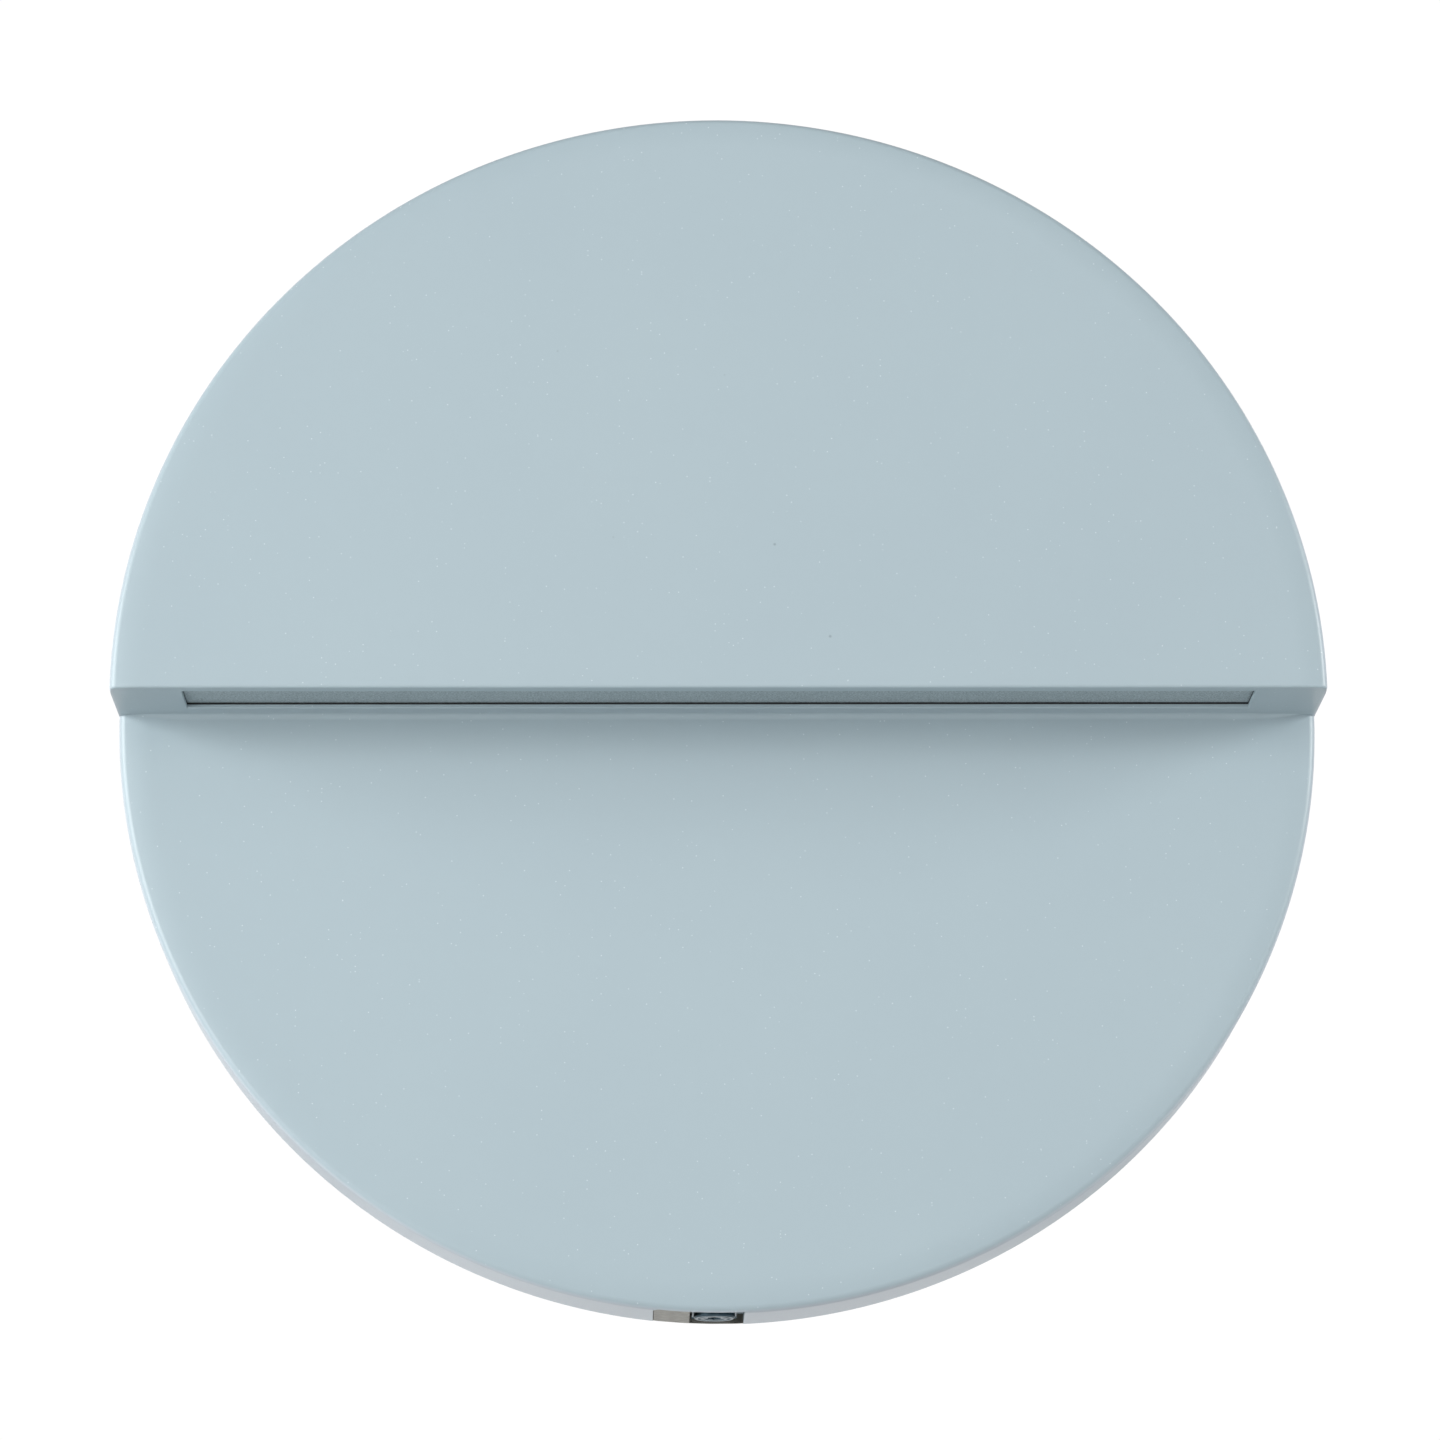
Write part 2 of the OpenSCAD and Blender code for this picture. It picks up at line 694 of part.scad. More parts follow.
module terminal_clamps() color("goldenrod") on_wall() for (x = pole_x) difference() {
  translate([x, block_y0 + clamp_end, wire_z]) rotate([-90, 0, 0])
    cylinder(r = clamp_r, h = block_y1 - block_y0 - 2 * clamp_end);
  translate([x, block_y0, wire_z]) rotate([-90, 0, 0]) cylinder(r = clamp_bore, h = 30);
  for (y = [-1, 1]) translate([x, block_mid + y * terminal_screw_y, wire_z])
    cylinder(r = terminal_screw_r, h = 20);
}

module terminal_screws() color("lightgray") on_wall() for (x = pole_x, y = [-1, 1])
  translate([x, block_mid + y * terminal_screw_y, 0]) difference() {
    neck = plate_t + block_h - terminal_screw_top;
    union() {
      translate([0, 0, terminal_screw_tip])
        cylinder(r = terminal_screw_r, h = neck - terminal_screw_tip);
      translate([0, 0, neck - 0.8]) cylinder(r = 1.9, h = 1.6);
    }
    translate([-2.5, -slot_in_head / 2, neck + 0.2]) cube([5, slot_in_head, 2]);
  }

module terminal_fixing_screws() color("lightgray") on_wall() for (x = [-fix_x, fix_x])
  translate([x, block_mid, plate_t + fix_floor])
    pan_screw(fix_r, fix_floor + plate_t - floor_skin, fix_head_r, screw_head_h);

// ---------- earth ----------

module earth_ring() color("silver") on_wall() translate([earth_x, earth_y, earth_top]) {
  difference() {
    union() {
      cylinder(r = 4, h = ring_t);
      translate([-1.3, 2.5, 0]) cube([2.6, 4, ring_t]);
    }
    translate([0, 0, -1]) cylinder(r = earth_hole_r, h = 4);
  }
  translate([0, 6, ring_t / 2 + 0.6]) rotate([-90, 0, 0]) difference() {
    cylinder(r = 1.6, h = 5);
    translate([0, 0, -1]) cylinder(r = 0.9, h = 7);
  }
}

module earth_washer() color("lightgray") on_wall()
  translate([earth_x, earth_y, earth_top + ring_t]) ring(3.9, earth_hole_r, 0, washer_t);

module earth_screw() color("darkseagreen") on_wall()
  translate([earth_x, earth_y, earth_top + ring_t + washer_t])
    pan_screw(earth_screw_r, 6, 3.6, 2.4);

module earth_lead() color("yellowgreen") on_wall()
  lead([[earth_x, earth_y + 11, plate_t + 4], [earth_x, earth_y + 15, plate_t + 4],
    [earth_x + 5, earth_y + 18, plate_t + 4.6], [-20, 43.5, wire_z - 0.6], [-12.5, 43.2, wire_z],
    [-10, 41.5, wire_z], [-10, 38, wire_z]], mains_r);

module neutral_lead() color("royalblue") on_wall()
  lead([[0, 38, wire_z], [0, 41, wire_z], [0.6, 44, wire_z + 0.6],
    [0.6, driver_y, wire_z + 0.6]], mains_r);

module live_lead() color("saddlebrown") on_wall()
  lead([[10, 38, wire_z], [10, 41, wire_z], [9.4, 44, wire_z + 0.6],
    [9.4, driver_y, wire_z + 0.6]], mains_r);

// ---------- plug ----------

// From the driver's side down to the plug.
module output_lead(side) {
  z = output_z + side;
  plug_side = plug_y + plug_w / 2;
  lead([[output_x, driver_y, z], [output_x, driver_y - 4, z], [plug_x - 10, driver_y - 8, z],
    [plug_x - 2, driver_y - 12, z], [plug_x, plug_side + 3, z], [plug_x, plug_side, z]], low_r);
}

module output_lead_positive() color("red") on_wall() output_lead(-1);

module output_lead_negative() color("black") on_wall() output_lead(1);

module output_plug() color("white") on_wall() translate([plug_x, plug_y, 0]) difference() {
  union() {
    translate([0, 0, plug_base]) round_plate(plug_l, plug_w, 0.6, plug_top - plug_base);
    translate([0, 0, plug_base + 1]) round_plate(nose_l, nose_w, 0.5, nose_top - plug_base - 1);
  }
  for (x = [-1, 1]) translate([x * pin_x, 0, nose_top - 5]) cylinder(r = pin_r + run_gap, h = 8);
}

// ---------- lock ----------

module lock_plate() color("dimgray") on_wall() difference() {
  block([screw_x - lock_plate_w / 2, -head_in, lock_plate_z0],
    [screw_x + lock_plate_w / 2, -lock_plate_in, lock_plate_z1]);
  down_radius(screw_x, screw_z, seat_in) cylinder(r = screw_d / 2 + 0.1, h = 3);
}

module locking_screw() color("darkslategray") on_wall() {
  down_radius(screw_x, screw_z, lock_tip) cylinder(r = screw_d / 2, h = head_in - lock_tip + tiny);
  down_radius(screw_x, screw_z, head_in) difference() {
    cylinder(r = lock_head_d / 2, h = lock_head_h);
    translate([0, 0, lock_socket_floor]) cylinder(r = lock_socket_r, h = 4, $fn = 6);
  }
}

front_cover();
diffuser();
diffuser_seal();
led_bracket();
bracket_end_caps();
reflector();
thermal_pad();
led_board();
led_chips();
bracket_screws();
led_socket();
socket_pins();
led_lead_positive();
led_lead_negative();
back_plate();
wall_gasket();
cover_seal();
guide_pins();
cable_grommet();
driver_case();
driver_lid();
driver_board();
driver_transformer();
driver_capacitor();
driver_screws();
terminal_block();
terminal_clamps();
terminal_screws();
terminal_fixing_screws();
earth_screw();
earth_washer();
earth_ring();
earth_lead();
neutral_lead();
live_lead();
output_lead_positive();
output_lead_negative();
output_plug();
lock_plate();
locking_screw();
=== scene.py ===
"""Half-moon wall light: the finished look of every piece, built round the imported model.

Each piece is drawn in millimetres, lying on the wall (x to the right, y up, z out of
the wall), and is stood up into the model's own frame when it is finished.
"""

import json
import logging
import math
from collections.abc import Iterable, Sequence
from dataclasses import dataclass, field
from enum import Enum

import bmesh
import bpy
from mathutils import Matrix, Vector

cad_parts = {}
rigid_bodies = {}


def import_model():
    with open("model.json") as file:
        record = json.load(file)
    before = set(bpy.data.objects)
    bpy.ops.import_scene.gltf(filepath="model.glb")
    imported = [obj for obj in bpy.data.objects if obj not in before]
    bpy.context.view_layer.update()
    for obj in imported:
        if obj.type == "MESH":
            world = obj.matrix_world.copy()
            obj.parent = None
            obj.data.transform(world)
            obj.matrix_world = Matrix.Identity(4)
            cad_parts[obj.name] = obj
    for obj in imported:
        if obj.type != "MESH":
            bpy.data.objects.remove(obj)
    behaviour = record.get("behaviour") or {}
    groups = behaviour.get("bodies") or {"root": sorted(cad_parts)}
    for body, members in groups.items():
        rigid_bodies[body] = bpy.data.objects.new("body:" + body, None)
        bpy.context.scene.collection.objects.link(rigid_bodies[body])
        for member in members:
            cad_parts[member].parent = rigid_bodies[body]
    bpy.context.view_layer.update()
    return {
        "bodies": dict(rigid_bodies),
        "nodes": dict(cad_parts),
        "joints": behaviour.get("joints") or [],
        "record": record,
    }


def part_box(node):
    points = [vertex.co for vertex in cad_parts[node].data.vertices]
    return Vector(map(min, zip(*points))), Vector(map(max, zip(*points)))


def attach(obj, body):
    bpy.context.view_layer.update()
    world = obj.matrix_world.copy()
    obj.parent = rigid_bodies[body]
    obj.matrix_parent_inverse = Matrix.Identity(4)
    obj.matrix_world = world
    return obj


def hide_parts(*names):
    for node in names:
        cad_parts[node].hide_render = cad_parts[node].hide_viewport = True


LOG = logging.getLogger("wall_light")

MM = 0.001
PER_METRE = 1000.0
STAND_UP = Matrix.Scale(MM, 4) @ Matrix.Rotation(math.pi / 2, 4, "X")
MERGE_MM = 1e-4
SMOOTH_ANGLE = math.radians(35)

Point = tuple[float, float, float]
Flat = tuple[float, float]


def linear(code: str) -> tuple[float, float, float, float]:
    """Turns an sRGB hex colour into a linear one.

    Args:
        code: six hex digits, such as "A9B8BF".

    Returns:
        Red, green, blue and alpha, each from 0 to 1.
    """
    parts = [int(code[i:i + 2], 16) / 255 for i in (0, 2, 4)]
    red, green, blue = (
        p / 12.92 if p <= 0.04045 else ((p + 0.055) / 1.055) ** 2.4 for p in parts
    )
    return red, green, blue, 1.0


def add_node(
    tree: bpy.types.NodeTree,
    kind: str,
    sockets: dict[str | int, object] | None = None,
    **settings: object,
) -> bpy.types.Node:
    """Adds one shader node with its settings, and links or sets its sockets.

    Args:
        tree: the node tree that gets the node.
        kind: the node's type name, without the "ShaderNode" that each begins with.
        sockets: each input's name or number, with a value or another node's output.
        settings: the node's own properties, set before its sockets.

    Returns:
        The new node.
    """
    node = tree.nodes.new(f"ShaderNode{kind}")
    for name, value in settings.items():
        setattr(node, name, value)
    for key, value in (sockets or {}).items():
        if isinstance(value, bpy.types.NodeSocket):
            tree.links.new(value, node.inputs[key])
        else:
            node.inputs[key].default_value = value
    return node


class Grain(Enum):
    """How a surface was made, which gives the pattern of its small bumps."""

    ERODED = "fine even texture of a spark-eroded mould"
    DRAWN = "lines left by a die along the piece"
    SAND_CAST = "lumps and pits of a casting"
    CELLS = "open cells of a foam"
    SMOOTH = "soft waves of a skin that set freely"


@dataclass(frozen=True)
class Finish:
    """A plain material with its grain, its clouding and its gloss.

    Attributes:
        name: what the real material is and how its surface was made.
        main: the sRGB colour of most of the surface.
        other: the sRGB colour that it clouds towards.
        grain: the pattern of its bumps.
        grain_mm: the size of one bump.
        depth_mm: how deep the bumps are.
        cloud_mm: the size of the clouds of colour.
        metallic: 1 for bare metal, otherwise 0.
        roughness: from 0, a mirror, to 1, chalk.
        spread: how much the roughness changes over the surface.
        stretch: how many times finer the grain is along x, y and z.
    """

    name: str
    main: str
    other: str
    grain: Grain
    grain_mm: float
    depth_mm: float
    cloud_mm: float
    metallic: float
    roughness: float
    spread: float = 0.08
    stretch: Point = (1.0, 1.0, 1.0)

    def material(self) -> bpy.types.Material:
        """Builds the material's nodes and returns it."""
        made, tree = empty_material(self.name)
        coords = add_node(tree, "TexCoord").outputs["Object"]
        height = self._height(tree, coords)
        cloud = add_node(tree, "TexNoise", {
            "Vector": coords, "Scale": PER_METRE / self.cloud_mm, "Detail": 3.0})
        share = add_node(tree, "MapRange", {
            "Value": cloud.outputs["Fac"], "From Min": 0.35, "From Max": 0.65})
        base = add_node(tree, "Mix", {
            0: share.outputs[0], 6: linear(self.main), 7: linear(self.other)},
            data_type="RGBA")
        rough = add_node(tree, "MapRange", {
            "Value": cloud.outputs["Fac"],
            "From Min": 0.3, "From Max": 0.7,
            "To Min": self.roughness - self.spread / 2,
            "To Max": self.roughness + self.spread / 2})
        bump = add_node(tree, "Bump", {
            "Strength": 1.0, "Distance": self.depth_mm * MM, "Height": height})
        shader = add_node(tree, "BsdfPrincipled", {
            "Base Color": base.outputs[2],
            "Metallic": self.metallic,
            "Roughness": rough.outputs[0],
            "Normal": bump.outputs[0]})
        close_material(tree, shader)
        return made

    def _height(self, tree: bpy.types.NodeTree, coords: bpy.types.NodeSocket
                ) -> bpy.types.NodeSocket:
        """Adds the nodes of the grain and returns its height, from 0 to 1."""
        scale = PER_METRE / self.grain_mm
        placed = add_node(tree, "Mapping", {
            "Vector": coords, "Scale": tuple(scale * s for s in self.stretch)})
        if self.grain is Grain.CELLS:
            cells = add_node(tree, "TexVoronoi", {
                "Vector": placed.outputs[0], "Scale": 1.0})
            return cells.outputs["Distance"]
        detail = {Grain.SMOOTH: 1.0, Grain.DRAWN: 2.0}.get(self.grain, 4.0)
        noise = add_node(tree, "TexNoise", {
            "Vector": placed.outputs[0], "Scale": 1.0, "Detail": detail})
        if self.grain is not Grain.SAND_CAST:
            return noise.outputs["Fac"]
        pits = add_node(tree, "TexVoronoi", {
            "Vector": placed.outputs[0], "Scale": 0.55})
        pitted = add_node(tree, "MapRange", {
            "Value": pits.outputs["Distance"], "From Min": 0.0, "From Max": 0.28})
        both = add_node(tree, "Math", {
            0: pitted.outputs[0], 1: noise.outputs["Fac"]}, operation="MULTIPLY")
        return both.outputs[0]


def empty_material(name: str) -> tuple[bpy.types.Material, bpy.types.NodeTree]:
    """Makes a material with no nodes in it and returns it with its node tree."""
    made = bpy.data.materials.new(name)
    made.use_nodes = True
    made.node_tree.nodes.clear()
    return made, made.node_tree


def close_material(tree: bpy.types.NodeTree, shader: bpy.types.Node) -> None:
    """Links the shader to the material's output."""
    add_node(tree, "OutputMaterial", {"Surface": shader.outputs[0]})


@dataclass(frozen=True)
class PowderCoat:
    """Satin polyester powder coat on die-cast aluminium, stoved.

    It gives the eye a soft, even sheen with a faint orange peel, fine pale flakes and
    the odd grain of dust. Down the round side the colour is painted lighter: painted light for
    the light from below that brightens the rim.
    """

    name: str = "powder_coat_satin_blue_grey"
    coat: str = "A6B6BC"
    coat_other: str = "A2B2B9"
    # painted light: the round side is coloured lighter to stand for the light from below that
    # brightens the rim
    side: str = "BAC3CA"
    flake: str = "CBD5D8"
    dust: str = "8C9AA1"
    roughness: float = 0.40
    peel_mm: float = 1.3
    peel_depth_mm: float = 0.0035
    tooth_mm: float = 0.22
    tooth_depth_mm: float = 0.004
    roughness_swing: float = 0.04
    cloud_mm: float = 45.0
    flake_mm: float = 0.75
    flake_radius: float = 0.18
    flake_share: float = 0.10
    dust_mm: float = 9.0
    dust_radius: float = 0.035
    dust_share: float = 0.12
    lit_side_from_mm: float = 99.5
    lit_side_fade_mm: float = 0.35

    def material(self) -> bpy.types.Material:
        """Builds the coat's nodes and returns the material."""
        made, tree = empty_material(self.name)
        coords = add_node(tree, "TexCoord").outputs["Object"]
        cloud = add_node(tree, "TexNoise", {
            "Vector": coords, "Scale": PER_METRE / self.cloud_mm, "Detail": 2.0})
        coat = add_node(tree, "Mix", {
            0: cloud.outputs["Fac"], 6: linear(self.coat), 7: linear(self.coat_other)},
            data_type="RGBA")
        # painted light: the round side is mixed towards the lighter side colour
        sided = add_node(tree, "Mix", {
            0: self._lit_side_share(tree, coords), 6: coat.outputs[2], 7: linear(self.side)},
            data_type="RGBA")
        flaked = add_node(tree, "Mix", {
            0: self._specks(tree, coords, self.flake_mm, self.flake_radius, self.flake_share),
            6: sided.outputs[2], 7: linear(self.flake)}, data_type="RGBA")
        dusted = add_node(tree, "Mix", {
            0: self._specks(tree, coords, self.dust_mm, self.dust_radius, self.dust_share),
            6: flaked.outputs[2], 7: linear(self.dust)}, data_type="RGBA")
        peel = add_node(tree, "TexNoise", {
            "Vector": coords, "Scale": PER_METRE / self.peel_mm, "Detail": 1.0})
        tooth = add_node(tree, "TexNoise", {
            "Vector": coords, "Scale": PER_METRE / self.tooth_mm, "Detail": 2.0})
        waves = add_node(tree, "Bump", {
            "Strength": 1.0, "Distance": self.peel_depth_mm * MM,
            "Height": peel.outputs["Fac"]})
        bump = add_node(tree, "Bump", {
            "Strength": 1.0, "Distance": self.tooth_depth_mm * MM,
            "Height": tooth.outputs["Fac"], "Normal": waves.outputs[0]})
        rough = add_node(tree, "MapRange", {
            "Value": tooth.outputs["Fac"], "From Min": 0.3, "From Max": 0.7,
            "To Min": self.roughness - self.roughness_swing,
            "To Max": self.roughness + self.roughness_swing})
        shader = add_node(tree, "BsdfPrincipled", {
            "Base Color": dusted.outputs[2],
            "Roughness": rough.outputs[0],
            "Normal": bump.outputs[0]})
        close_material(tree, shader)
        return made

    def _lit_side_share(self, tree: bpy.types.NodeTree, coords: bpy.types.NodeSocket
                    ) -> bpy.types.NodeSocket:
        """Returns 1 on the cover's round side, where the painted light goes, and 0 elsewhere, by
        distance from the axis.
        """
        flat = add_node(tree, "VectorMath", {
            0: coords, 1: (1.0, 0.0, 1.0)}, operation="MULTIPLY")
        far = add_node(tree, "VectorMath", {0: flat.outputs[0]}, operation="LENGTH")
        share = add_node(tree, "MapRange", {
            "Value": far.outputs["Value"],
            "From Min": self.lit_side_from_mm * MM,
            "From Max": (self.lit_side_from_mm + self.lit_side_fade_mm) * MM})
        return share.outputs[0]

    @staticmethod
    def _specks(tree: bpy.types.NodeTree, coords: bpy.types.NodeSocket,
                cell_mm: float, radius: float, share: float) -> bpy.types.NodeSocket:
        """Scatters soft round specks, one in some of the cells of a size.

        Args:
            tree: the node tree.
            coords: the place on the piece.
            cell_mm: the size of a cell, which holds one speck at most.
            radius: the radius of a speck, as a share of its cell.
            share: the share of the cells that have a speck.

        Returns:
            1 on a speck and 0 off it.
        """
        cells = add_node(tree, "TexVoronoi", {
            "Vector": coords, "Scale": PER_METRE / cell_mm})
        near = add_node(tree, "MapRange", {
            "Value": cells.outputs["Distance"],
            "From Min": radius, "From Max": radius * 0.4})
        pick = add_node(tree, "SeparateColor", {0: cells.outputs["Color"]})
        chosen = add_node(tree, "Math", {
            0: pick.outputs[0], 1: share}, operation="LESS_THAN")
        both = add_node(tree, "Math", {
            0: near.outputs[0], 1: chosen.outputs[0]}, operation="MULTIPLY")
        return both.outputs[0]


@dataclass(frozen=True)
class OpalDiffuser:
    """Opal polycarbonate sheet with a sand-textured face.

    Unlit, it looks like frosted glass: dull, with sparkling grains of light and dark.
    The grains are drawn a little coarser than the real 0.1 mm, so that they show.
    """

    name: str = "opal_polycarbonate_sanded"
    pale: str = "AEBBBF"
    deep: str = "76868B"
    grain_mm: float = 0.30
    depth_mm: float = 0.02
    roughness: float = 0.5
    refraction: float = 1.58

    def material(self) -> bpy.types.Material:
        """Builds the diffuser's nodes and returns the material."""
        made, tree = empty_material(self.name)
        coords = add_node(tree, "TexCoord").outputs["Object"]
        sand = add_node(tree, "TexNoise", {
            "Vector": coords, "Scale": PER_METRE / self.grain_mm, "Detail": 3.0,
            "Roughness": 0.7})
        share = add_node(tree, "MapRange", {
            "Value": sand.outputs["Fac"], "From Min": 0.38, "From Max": 0.62})
        base = add_node(tree, "Mix", {
            0: share.outputs[0], 6: linear(self.deep), 7: linear(self.pale)},
            data_type="RGBA")
        bump = add_node(tree, "Bump", {
            "Strength": 1.0, "Distance": self.depth_mm * MM, "Height": sand.outputs["Fac"]})
        shader = add_node(tree, "BsdfPrincipled", {
            "Base Color": base.outputs[2],
            "Roughness": self.roughness,
            "IOR": self.refraction,
            "Normal": bump.outputs[0]})
        close_material(tree, shader)
        return made


@dataclass(frozen=True)
class StripedLead:
    """PVC insulation of an earth lead, extruded in two colours that wind round it."""

    name: str = "pvc_green_and_yellow"
    green: str = "2F7A33"
    yellow: str = "D9C22A"
    skin_mm: float = 0.5
    skin_depth_mm: float = 0.006
    roughness: float = 0.38

    def material(self) -> bpy.types.Material:
        """Builds the lead's nodes, which read the stripe kept in its mesh."""
        made, tree = empty_material(self.name)
        stripe = add_node(tree, "Attribute", attribute_name=LEAD_STRIPE)
        share = add_node(tree, "MapRange", {
            "Value": stripe.outputs["Fac"], "From Min": 0.42, "From Max": 0.58})
        base = add_node(tree, "Mix", {
            0: share.outputs[0], 6: linear(self.green), 7: linear(self.yellow)},
            data_type="RGBA")
        coords = add_node(tree, "TexCoord").outputs["Object"]
        skin = add_node(tree, "TexNoise", {
            "Vector": coords, "Scale": PER_METRE / self.skin_mm, "Detail": 2.0})
        bump = add_node(tree, "Bump", {
            "Strength": 1.0, "Distance": self.skin_depth_mm * MM, "Height": skin.outputs["Fac"]})
        shader = add_node(tree, "BsdfPrincipled", {
            "Base Color": base.outputs[2],
            "Roughness": self.roughness,
            "Normal": bump.outputs[0]})
        close_material(tree, shader)
        return made


LEAD_STRIPE = "stripe"

# Each finish of the record, under its slot's name.
FINISHES: dict[str, Finish | PowderCoat | OpalDiffuser | StripedLead] = {
    "powder_coat": PowderCoat(),
    "opal_diffuser": OpalDiffuser(),
    "wire_earth": StripedLead(),
    # Silicone cord, moulded: matt, with a faint bloom.
    "silicone_black": Finish("silicone_moulded_black", "16181A", "1E2123", Grain.SMOOTH,
                             1.5, 0.02, 6, 0, 0.62),
    # Aluminium 6063, extruded: straight die lines along it.
    "extruded_aluminium": Finish("aluminium_extruded", "B9BBBE", "A9ABAE", Grain.DRAWN,
                                 0.35, 0.008, 12, 1, 0.38, 0.12, (0.02, 1.0, 1.0)),
    # Glass-filled nylon, moulded: fine spark texture, slightly warm.
    "white_plastic": Finish("nylon_moulded_white", "DEDCD4", "D5D3CB", Grain.ERODED,
                            0.30, 0.010, 15, 0, 0.48),
    # Silicone gap pad: soft and dusty.
    "thermal_pad": Finish("silicone_pad_pink", "B98E9B", "AD8490", Grain.CELLS,
                          0.8, 0.02, 5, 0, 0.75),
    # White solder mask over aluminium: glossy, with a faint print texture.
    "board_white": Finish("solder_mask_white", "E6E6E0", "DAD9D2", Grain.ERODED,
                          0.4, 0.004, 10, 0, 0.30),
    # Phosphor in silicone: a dull yellow drop.
    "led_phosphor": Finish("phosphor_silicone", "E3C44A", "D3AE38", Grain.ERODED,
                           0.2, 0.006, 2, 0, 0.42),
    # Zinc-plated steel: bright, faintly clouded.
    "zinc_steel": Finish("steel_zinc_plated", "B4B6BA", "9DA0A8", Grain.DRAWN,
                         0.3, 0.006, 3, 1, 0.30, 0.14, (1.0, 0.15, 1.0)),
    # Turned brass: fine rings, a little dull.
    "brass": Finish("brass_turned", "C9A45B", "B48C45", Grain.DRAWN,
                    0.3, 0.006, 3, 1, 0.32, 0.12, (1.0, 1.0, 0.2)),
    # PVC insulation, extruded: smooth and half glossy.
    **{f"wire_{shade}": Finish(f"pvc_{shade}", main, other, Grain.SMOOTH, 0.8, 0.01, 4, 0, 0.36)
       for shade, main, other in (("red", "A01C18", "8F1714"), ("black", "17181A", "202224"),
                                  ("blue", "1F4C9C", "1A418A"), ("brown", "5A3018", "4C2812"))},
    # Die-cast aluminium, uncoated: dull grey, slightly tan, lumpy and pitted.
    "cast_aluminium": Finish("aluminium_die_cast", "A3A19A", "97958E", Grain.SAND_CAST,
                             0.45, 0.03, 1.4, 1, 0.55, 0.10),
    # Closed-cell foam tape: black, with small open cells on its cut faces.
    "foam_black": Finish("foam_closed_cell", "1B1C1E", "25272A", Grain.CELLS,
                         0.55, 0.10, 8, 0, 0.88),
    # Moulded rubber: dark grey, matt.
    "rubber_grey": Finish("rubber_moulded_grey", "3B3C3F", "323336", Grain.ERODED,
                          0.4, 0.02, 8, 0, 0.66),
    # Green solder mask: glossy over faint tracks.
    "board_green": Finish("solder_mask_green", "1E5B34", "194D2C", Grain.DRAWN,
                          1.2, 0.02, 4, 0, 0.30, 0.08, (1.0, 0.2, 0.2)),
    # Polyester tape round a winding.
    "transformer": Finish("polyester_tape_yellow", "D2A52C", "C09524", Grain.DRAWN,
                          0.5, 0.02, 5, 0, 0.35, 0.1, (0.1, 1.0, 1.0)),
    # Shrink sleeve, drawn tight.
    "capacitor_sleeve": Finish("shrink_sleeve_navy", "1B2748", "151F3C", Grain.SMOOTH,
                               1.2, 0.02, 5, 0, 0.28),
    # Steel screw with a green lacquered head.
    "earth_green_steel": Finish("steel_green_lacquer", "3E8A50", "357845", Grain.SMOOTH,
                                0.6, 0.01, 3, 0, 0.34),
    # Copper, hot tinned: bright, with slow waves.
    "tinned_copper": Finish("copper_tinned", "C2BFB8", "AEABA4", Grain.SMOOTH,
                            0.8, 0.015, 3, 1, 0.30, 0.14),
    # Blackened steel: dark blue-grey, with the rings of its turning.
    "dark_steel": Finish("steel_blackened", "5C6F79", "465862", Grain.DRAWN,
                         0.35, 0.02, 2.0, 1, 0.36, 0.14, (0.25, 1.0, 1.0)),
}


def smooth_route(points: Sequence[Point], steps: int) -> list[Vector]:
    """Fills a route of given points with a smooth curve through them.

    Args:
        points: the points that the route passes.
        steps: how many steps to take between two of them.

    Returns:
        The points of the curve.
    """
    p = [Vector(point) for point in points]
    path: list[Vector] = []
    for i in range(len(p) - 1):
        a, b, c, d = p[max(i - 1, 0)], p[i], p[i + 1], p[min(i + 2, len(p) - 1)]
        for step in range(steps):
            t = step / steps
            path.append(0.5 * (2 * b + (c - a) * t + (2 * a - 5 * b + 4 * c - d) * t ** 2
                               + (3 * b - a - 3 * c + d) * t ** 3))
    return [*path, p[-1]]


class Turn(Enum):
    """The way a round shape points, as the turn that takes +z there."""

    OUT = Matrix.Identity(4)
    DOWN = Matrix.Rotation(math.pi / 2, 4, "X")
    UP = Matrix.Rotation(-math.pi / 2, 4, "X")
    RIGHT = Matrix.Rotation(math.pi / 2, 4, "Y")


class Cut(Enum):
    """How one solid acts on another."""

    AWAY = "DIFFERENCE"
    JOIN = "UNION"


